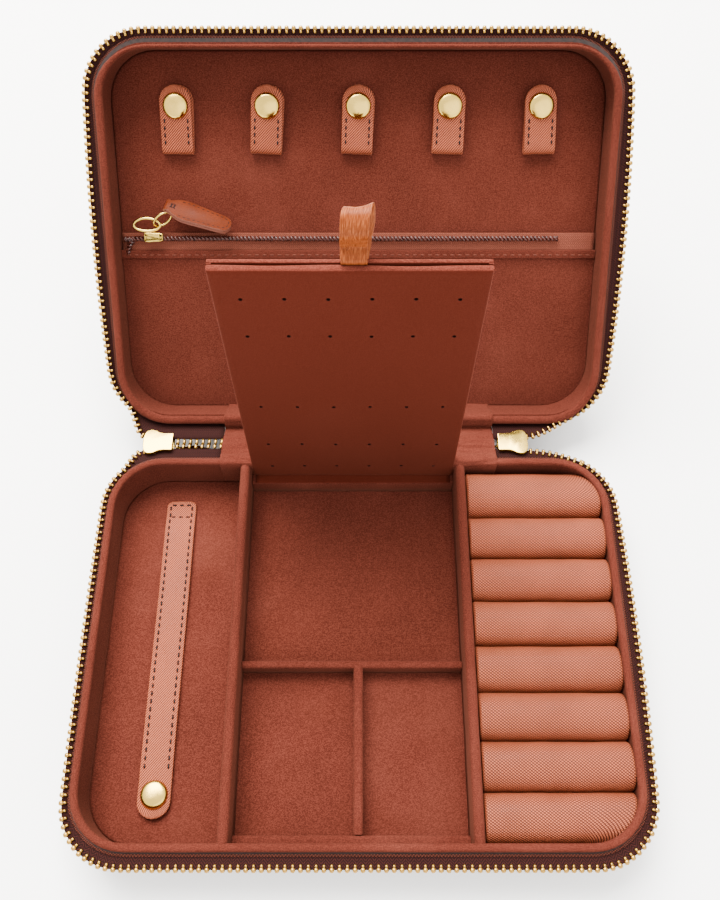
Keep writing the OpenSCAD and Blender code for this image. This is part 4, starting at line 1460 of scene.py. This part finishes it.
def ribbon():
    """Pull loop of satin, its two ends sewn into the slit at the panel's top."""
    lo, hi = box("ribbon_loop")
    x = (lo.x + hi.x) / 2 + 0.4
    y = FRONT_T + SLIT / 2
    top = PANEL_L
    line = curve([(x, y - 0.2, top - 0.9), (x, y - 1.1, top + 1.2), (x - 0.1, y - 0.3, top + 3.4),
        (x - 0.1, y + 1.7, top + 5.0), (x - 0.1, y + 0.9, top + 8.0), (x, y - 0.5, top + 12.0),
        (x + 0.1, y + 0.4, top + 15.8), (x + 0.5, y + 3.0, top + 18.0), (x + 1.4, y + 6.0, top + 17.6),
        (x + 2.4, y + 7.2, top + 14.8), (x + 2.8, y + 6.4, top + 10.4), (x + 2.0, y + 3.8, top + 5.4),
        (x + 0.7, y + 1.0, top + 1.2), (x + 0.2, y + 0.2, top - 0.9)], 7)
    half = 4.05 + 0.25 * np.sin(np.linspace(0, math.pi, len(line)))
    t = np.linspace(0, 1, len(line))
    twist = np.interp(t, (0, 0.48, 0.62, 0.72, 0.84, 0.95, 1), np.radians((0, 0, 8, 30, 38, 15, 0)))
    side = np.column_stack([np.cos(twist), np.sin(twist), 0.05 * np.sin(5 * t)])
    build = strip(Build(), line, side, half, 0.3, edge=0.12, across=12)
    v = np.array(build.verts)
    v += 0.07 * wave(v * np.array([1, 0.3, 0.3]), 3.1, 6)[:, None] * np.array([0, 1, 0.2])
    build.verts = list(map(tuple, v))
    obj = build.make("ribbon_satin", MAT["satin"], PANEL)
    put(obj, "ribbon", "satin", "ribbon_loop")


ribbon()

# ---- pocket in the lid ----

POCKET_N, POCKET_TOP, COIL_S, COIL_N = -17.6, 71.4, 76.4, -15.6
POCKET_X = HALF_X - 0.4


def pocket_wall_x(s):
    past = max(0.0, CORNER_R - s)
    return HALF_X - CORNER_R + math.sqrt(max(0.0, CORNER_R**2 - past * past)) - 0.35


def pocket_fabric():
    """Suede pocket front: softly swollen, puckered along its stitched, folded upper edge."""
    turn_s, over = 67.6, 1.15
    stops = np.concatenate([np.linspace(0.35, turn_s - 0.5, 46), np.linspace(turn_s - 0.3, turn_s + 0.6, 6),
        np.linspace(turn_s + 0.9, POCKET_TOP - 0.3, 6), [POCKET_TOP - 0.08, POCKET_TOP]])
    rows = []
    for s in stops:
        x1 = pocket_wall_x(s)
        top, low = [], []
        for x in np.linspace(-x1, x1, 110):
            edge = min(1, (x1 - abs(x)) / 6)
            swell = 0.55 * math.sin(math.pi * min(1, s / 66)) * edge
            p = (x, s, 0)
            uneven = 0.22 * float(wave(p, 46, 3)) + 0.08 * float(wave(p, 17, 8))
            wrinkle = uneven * math.sin(math.pi * min(1, s / 70)) * edge
            pucker = 0.10 * math.sin(x / 2.9 + 0.7 * math.sin(x / 11)) * math.exp(-(((s - 64.6) / 2.2) ** 2))
            fold = over / (1 + math.exp(-(s - turn_s) / 0.13)) * 0.52
            lip = 0.35 if s > POCKET_TOP - 0.05 else (0.12 if s > POCKET_TOP - 0.2 else 0)
            ride_up = 0.75 / (1 + math.exp(-(s - 65.7) / 0.9))
            top.append((x, s, POCKET_N + 0.35 + swell + wrinkle + pucker + fold + ride_up - lip))
            low.append((x, s, POCKET_N - 0.35 + ride_up * 0.9))
        rows.append(top + low[::-1])
    obj = Build().grid(rows, wrap_v=True, caps=True).make("pocket_suede", MAT["suede_pocket"], LID)
    put(sharp(obj, 55), "lid", "suede", "pocket_panel")
    build = Build()
    row = [(x, 69.3, POCKET_N + 0.35 + over * 0.52 + 0.75 + 0.05)
        for x in np.linspace(-POCKET_X + 1.5, POCKET_X - 1.5, 90)]
    stitches(build, row, pitch=3.3, length=2.2, radius=0.2)
    seam = build.make("pocket_stitches", MAT["thread_light"], LID)
    put(seam, "lid", "suede")


pocket_fabric()


def pocket_tape():
    """The pocket zip's tape, humped a little under the coil."""
    rows = []
    for x in np.linspace(-POCKET_X + 0.6, POCKET_X - 0.6, 120):
        row = []
        for s in (COIL_S + k for k in (-6.4, -4.5, -3.0, -1.6, -1.1, 1.1, 1.6, 2.1, 2.4)):
            hump = 0.25 * math.exp(-(((s - COIL_S) / 1.3) ** 2))
            row.append((x, s, -16.95 + hump + 0.06 * float(wave((x, s, 0), 12, 3))))
        rows.append(row + [(a, b, c - 0.45) for a, b, c in row[::-1]])
    obj = Build().grid(rows, wrap_v=True, caps=True).make("pocket_tape_cloth", MAT["pocket_tape"], LID)
    put(obj, "lid", "pocket_tape", "pocket_zip_tape")


pocket_tape()


def pocket_coil():
    """Nylon coil zip: two strands laid like a rope, bending down at the left wall."""
    lo, hi = box("pocket_zip_coil")
    line = curve([(hi.x, COIL_S, COIL_N), (0, COIL_S, COIL_N), (lo.x + 6.5, COIL_S, COIL_N),
        (lo.x + 2.6, COIL_S - 0.9, COIL_N), (lo.x + 0.5, COIL_S - 3.4, COIL_N - 0.3),
        (lo.x - 0.4, COIL_S - 6.4, COIL_N - 0.8)], 12)
    lay, step = 3.4, 10
    q, d = resample(line, pitch=lay / step)
    side = np.cross((0, 0, 1), d)
    side = units(side)
    a = np.arange(len(q)) * 2 * math.pi / step
    build = Build()
    for shift in (0, math.pi):
        across = side * (0.62 * np.cos(a + shift))[:, None]
        rise = np.array([0, 0, 1]) * (0.55 * np.sin(a + shift))[:, None]
        tube(build, q + across + rise, 0.58, 8)
    put(build.make("pocket_coil_nylon", MAT["coil"], LID), "lid", "coil", "pocket_zip_coil")


pocket_coil()

# ---- zip pulls ----


def pull_outline(length, wide, end_wide):
    """Outline of a leather zip pull: a narrow neck, a shoulder and a round end."""
    r = end_wide / 2
    side = curve([(0, wide * 0.27), (1.6, wide * 0.29), (3.6, wide * 0.40), (6.5, wide * 0.49),
        (9.5, wide * 0.5), (length * 0.62, wide * 0.44), (length - r - 1.2, r * 1.03)], 4)
    side = [(x, y) for x, y in side]
    tip = arc(length - r, 0, r, 88, -88, 14)
    return np.array(side + tip + [(x, -y) for x, y in side[::-1]])


def leather_pull(name, body, place, length, wide, end_wide, thick, node, bend=0.0):
    """A leather strip doubled over the ring, glued and stitched; its cut edge is left raw."""
    loop = pull_outline(length, wide, end_wide)
    build = Build()
    seam = 0.05
    for z0, z1 in ((-thick / 2, -seam), (seam, thick / 2)):
        plate(build, loop, z0, z1, 0.22, 2)
    plate(build, offset_loop(loop, 0.25), -seam * 2, seam * 2, 0.02, 1)
    a = np.linspace(-math.pi / 2, math.pi / 2, 9)
    wrap = []
    for y in np.linspace(-wide * 0.27, wide * 0.27, 5):
        rounds = ((thick / 2, a), (thick / 2 - 0.75, a[::-1]))
        wrap.append([(0.3 - r * math.cos(t), y, r * math.sin(t)) for r, angles in rounds for t in angles])
    build.grid(wrap, wrap_v=True, caps=True)
    v = np.array(build.verts)
    v[:, 2] += bend * (v[:, 0] / length) ** 2
    build.verts = list(map(tuple, v))
    obj = build.make(name, MAT["pull"], place)
    edge_faces(obj, MAT["pull_edge"], place, 0.55)
    put(sharp(obj, 55), body, "pull_leather", node)
    inner = offset_loop(loop, 1.05)
    seam_path = [(x, y, thick / 2 + bend * (x / length) ** 2 + 0.02) for x, y in inner if x > 5.2]
    build = Build()
    stitches(build, seam_path, pitch=2.1, length=1.45, radius=0.17)
    z = thick / 2 + 0.05
    for x0 in (1.7, 3.0):
        for sign in (1, -1):
            cross = [(x0 - 0.55, -1.5 * sign, z), (x0 + 0.55, 1.5 * sign, z)]
            stitches(build, cross, pitch=3.2, length=3.1, radius=0.2)
    put(build.make(name + "_stitches", MAT["thread"], place), body, "pull_leather")


def wire_ring(name, body, place, centre, along, across, tilt, node):
    """An oval wire ring, turned about its long axis by tilt."""
    a = np.linspace(0, 2 * math.pi, 40, endpoint=False)
    loop = [(centre + along * math.cos(t), across * math.sin(t) * math.cos(tilt),
        across * math.sin(t) * math.sin(tilt)) for t in a]
    obj = tube(Build(), loop, 0.55, 10, closed=True).make(name, MAT["brass"], place)
    put(obj, body, "brass", node)


for side_name, mirror in (("left", 1), ("right", -1)):
    hub = joint_at(f"puller_{side_name}_swing")
    hub_local = local(SPINE, hub)
    place = SPINE @ move(*hub_local) @ Matrix.Diagonal((mirror, 1, 1, 1)) @ turn(math.radians(20), "Y")
    body, tilt = "puller_" + side_name, math.radians(8)
    wire_ring("puller_ring_" + side_name, body, place, 3.9, 5.0, 2.6, tilt, "pull_link_" + side_name)
    pull_place = place @ move(8.0, 0, 0)
    leather_pull("puller_leather_" + side_name, body, pull_place, 27.0, 9.0, 6.6, 2.4,
        "pull_tab_" + side_name)


def pocket_slider():
    """The pocket zip's slider body and bail, and the ring and leather that hang from it."""
    place = LID @ move(-93.6, COIL_S + 0.8, -13.4)
    half = curve([(0, 1.2), (0.5, 1.9), (2.2, 2.1), (4.6, 1.9), (7.2, 1.8), (8.3, 1.4)], 5)
    loop = np.concatenate([half, half[::-1] * np.array([1, -1])])
    build = Build()
    plate(build, loop, 0, 0.95, 0.4, 3)
    plate(build, offset_loop(loop, 0.9), 0.9, 1.5, 0.5, 2)
    for y in (1, -1):
        rows = []
        for x, reach in half[2:-1]:
            a, b = reach * 0.94 * y, reach * 0.94 * y - 0.55 * y
            rows.append([(x, a, 0.1), (x, a, -2.2), (x, b, -2.2), (x, b, 0.1)])
        build.grid(rows, wrap_v=True, caps=True)
    body = build.make("pocket_slider_body", MAT["brass"], place)
    put(sharp(body, 40), "pocket_slider", "brass", "pocket_slider")
    hub = local(LID, joint_at("pocket_pull_swing"))
    d_ring = []
    for t in np.linspace(0, 2 * math.pi, 48, endpoint=False):
        x = hub.x - 1.4 + 5.7 * math.cos(t) * (1 - 0.12 * math.sin(t))
        d_ring.append((x, COIL_S + 6.2 + 2.7 * math.sin(t), -12.7))
    bail = tube(Build(), d_ring, 0.62, 10, closed=True).make("pocket_slider_bail", MAT["brass"], LID)
    put(bail, "pocket_slider", "brass")
    place = LID @ move(*hub)
    climb, slant, roll = math.radians(34), math.radians(-19), math.radians(-38)
    ring_place = place @ move(3.0, -0.4, 0) @ turn(climb, "Z")
    wire_ring("pocket_pull_ring", "pocket_pull", ring_place, 3.0, 4.3, 2.7, math.radians(42), "pocket_link")
    pull_place = place @ move(8.2, 6.9, 0.9) @ turn(slant, "Z") @ turn(roll, "X")
    leather_pull("pocket_pull_leather", "pocket_pull", pull_place, 28.4, 9.4, 7.2, 3.0, "pocket_pull",
        bend=0.5)


pocket_slider()

# ---- the soft spine between tray and lid ----


def lid_point(s, n):
    p = at(LID, 0, s, n)
    return p.y, p.z


def spine_pieces():
    """The suede inside the hinge and the leather outside it."""
    wall = HALF_Y
    top = RIM_TOP
    inner = curve([(wall - 0.5, FLOOR + 1.6), (wall - 0.6, 14), (wall - 1.1, 21.5), (wall - 0.6, top - 0.3),
        (wall + 1.2, top + 0.3), (wall + 3.2, top - 0.2), (wall + 5.2, top - 1.5), (wall + 8.0, top - 2.5),
        (AXIS.y, AXIS.z + 2.7), lid_point(-7.0, -2.2), lid_point(-4.8, -0.9), lid_point(-3.0, -0.15),
        lid_point(-1.5, 0.3), lid_point(-0.05, -0.5), lid_point(0.35, -3.5), lid_point(0.3, -10),
            lid_point(0.35, -16), lid_point(1.0, -18.2), lid_point(2.8, -18.75), lid_point(5.0, -18.8)], 6)
    lo, hi = box("spine_lining")
    creases = ((19.4, 0.5, 0.7), (24.0, 0.55, 0.8), (27.6, 0.45, 0.6), (30.4, 0.6, 0.8), (34.0, 0.5, 0.7),
        (39.0, 0.4, 0.8))
    build, length = cloth_band(inner, lo.x, hi.x, 0.42, nx=150, pitch=0.45, ripple=0.22, size=13, seed=3,
        creases=creases)
    obj = build.make("spine_suede", MAT["suede_spine"])
    edge, middle = (0, wall + 1.6, 0), (0, AXIS.y, 0)
    hinge_blend(obj, "base", "suede", edge, middle, "spine_lining")
    outer = curve([(wall + 4.0, 10.5), (wall + 4.05, 15), (wall + 4.3, 18.0), (wall + 6.0, 18.35),
        (AXIS.y - 3, AXIS.z - 1.35), (AXIS.y, AXIS.z - 1.45), (AXIS.y + 3, AXIS.z - 1.6),
        lid_point(-6.8, -6.6), lid_point(-4.9, -6.8), lid_point(-4.15, -8.4), lid_point(-4.05, -12),
            lid_point(-4.05, -15)], 6)
    build, length = cloth_band(outer, lo.x, hi.x, 0.9, nx=90, pitch=0.7, ripple=0.10, size=20, seed=6,
        creases=((9.6, 0.15, 0.8), (16.0, 0.15, 0.8)))
    obj = build.make("spine_leather", MAT["cover"])
    edge, middle = (0, wall + 4.6, 0), (0, AXIS.y, 0)
    hinge_blend(obj, "base", "cover_leather", edge, middle, "spine_cover")


spine_pieces()

# ---- carried-over boards ----

for node in ("base_board", "lid_board"):
    carried = next(o for o in bpy.data.objects if o.name == node and o.type == "MESH")
    carried.data.materials.clear()
    carried.data.materials.append(MAT["board"])

# ---- floor, light and camera ----


WORLD_LIGHT, KEY_LIGHT, FILL_LIGHT = 3.4, 150.0, 12.0
# from the camera fit: focal length in mm on a 36 mm sensor, place in metres and tilt in degrees
LENS, CAMERA_PLACE, CAMERA_TILT = 35.63, (0.0007, -0.08946, 0.37577), 26.08


def studio():
    """A pale table, a bright room, two soft lamps and the photo's camera."""
    scene = bpy.context.scene
    side = 6000
    rows = [[(x, y, -0.02) for y in np.linspace(-side, side, 3)] for x in np.linspace(-side, side, 3)]
    floor = Build().grid(rows).make("studio_floor", MAT["floor"])
    world = bpy.data.worlds.new("studio")
    scene.world = world
    world.use_nodes = True
    background = world.node_tree.nodes["Background"]
    background.inputs["Color"].default_value = (1.0, 0.985, 0.965, 1)
    background.inputs["Strength"].default_value = WORLD_LIGHT
    for name, spot, aim, size, power, colour in (
        ("key", (-0.25, 0.75, 1.25), (0, 0.05, 0.03), 1.1, KEY_LIGHT, (1.0, 0.97, 0.93)),
        ("fill", (0.5, -1.0, 0.9), (0, 0, 0.05), 1.4, FILL_LIGHT, (1.0, 0.98, 0.96)),
    ):
        lamp = bpy.data.lights.new(name, "AREA")
        lamp.shape, lamp.size, lamp.energy, lamp.color = "SQUARE", size, power, colour
        obj = bpy.data.objects.new(name, lamp)
        obj.location = spot
        obj.rotation_euler = (Vector(aim) - Vector(spot)).to_track_quat("-Z", "Y").to_euler()
        scene.collection.objects.link(obj)
    camera = bpy.data.cameras.new("camera")
    camera.lens, camera.sensor_width, camera.sensor_fit = LENS, 36.0, "AUTO"
    camera.dof.use_dof = False
    camera.clip_start = 0.01
    obj = bpy.data.objects.new("camera", camera)
    obj.location = CAMERA_PLACE
    obj.rotation_euler = (math.radians(CAMERA_TILT), 0, 0)
    scene.collection.objects.link(obj)
    scene.camera = obj


studio()

import json
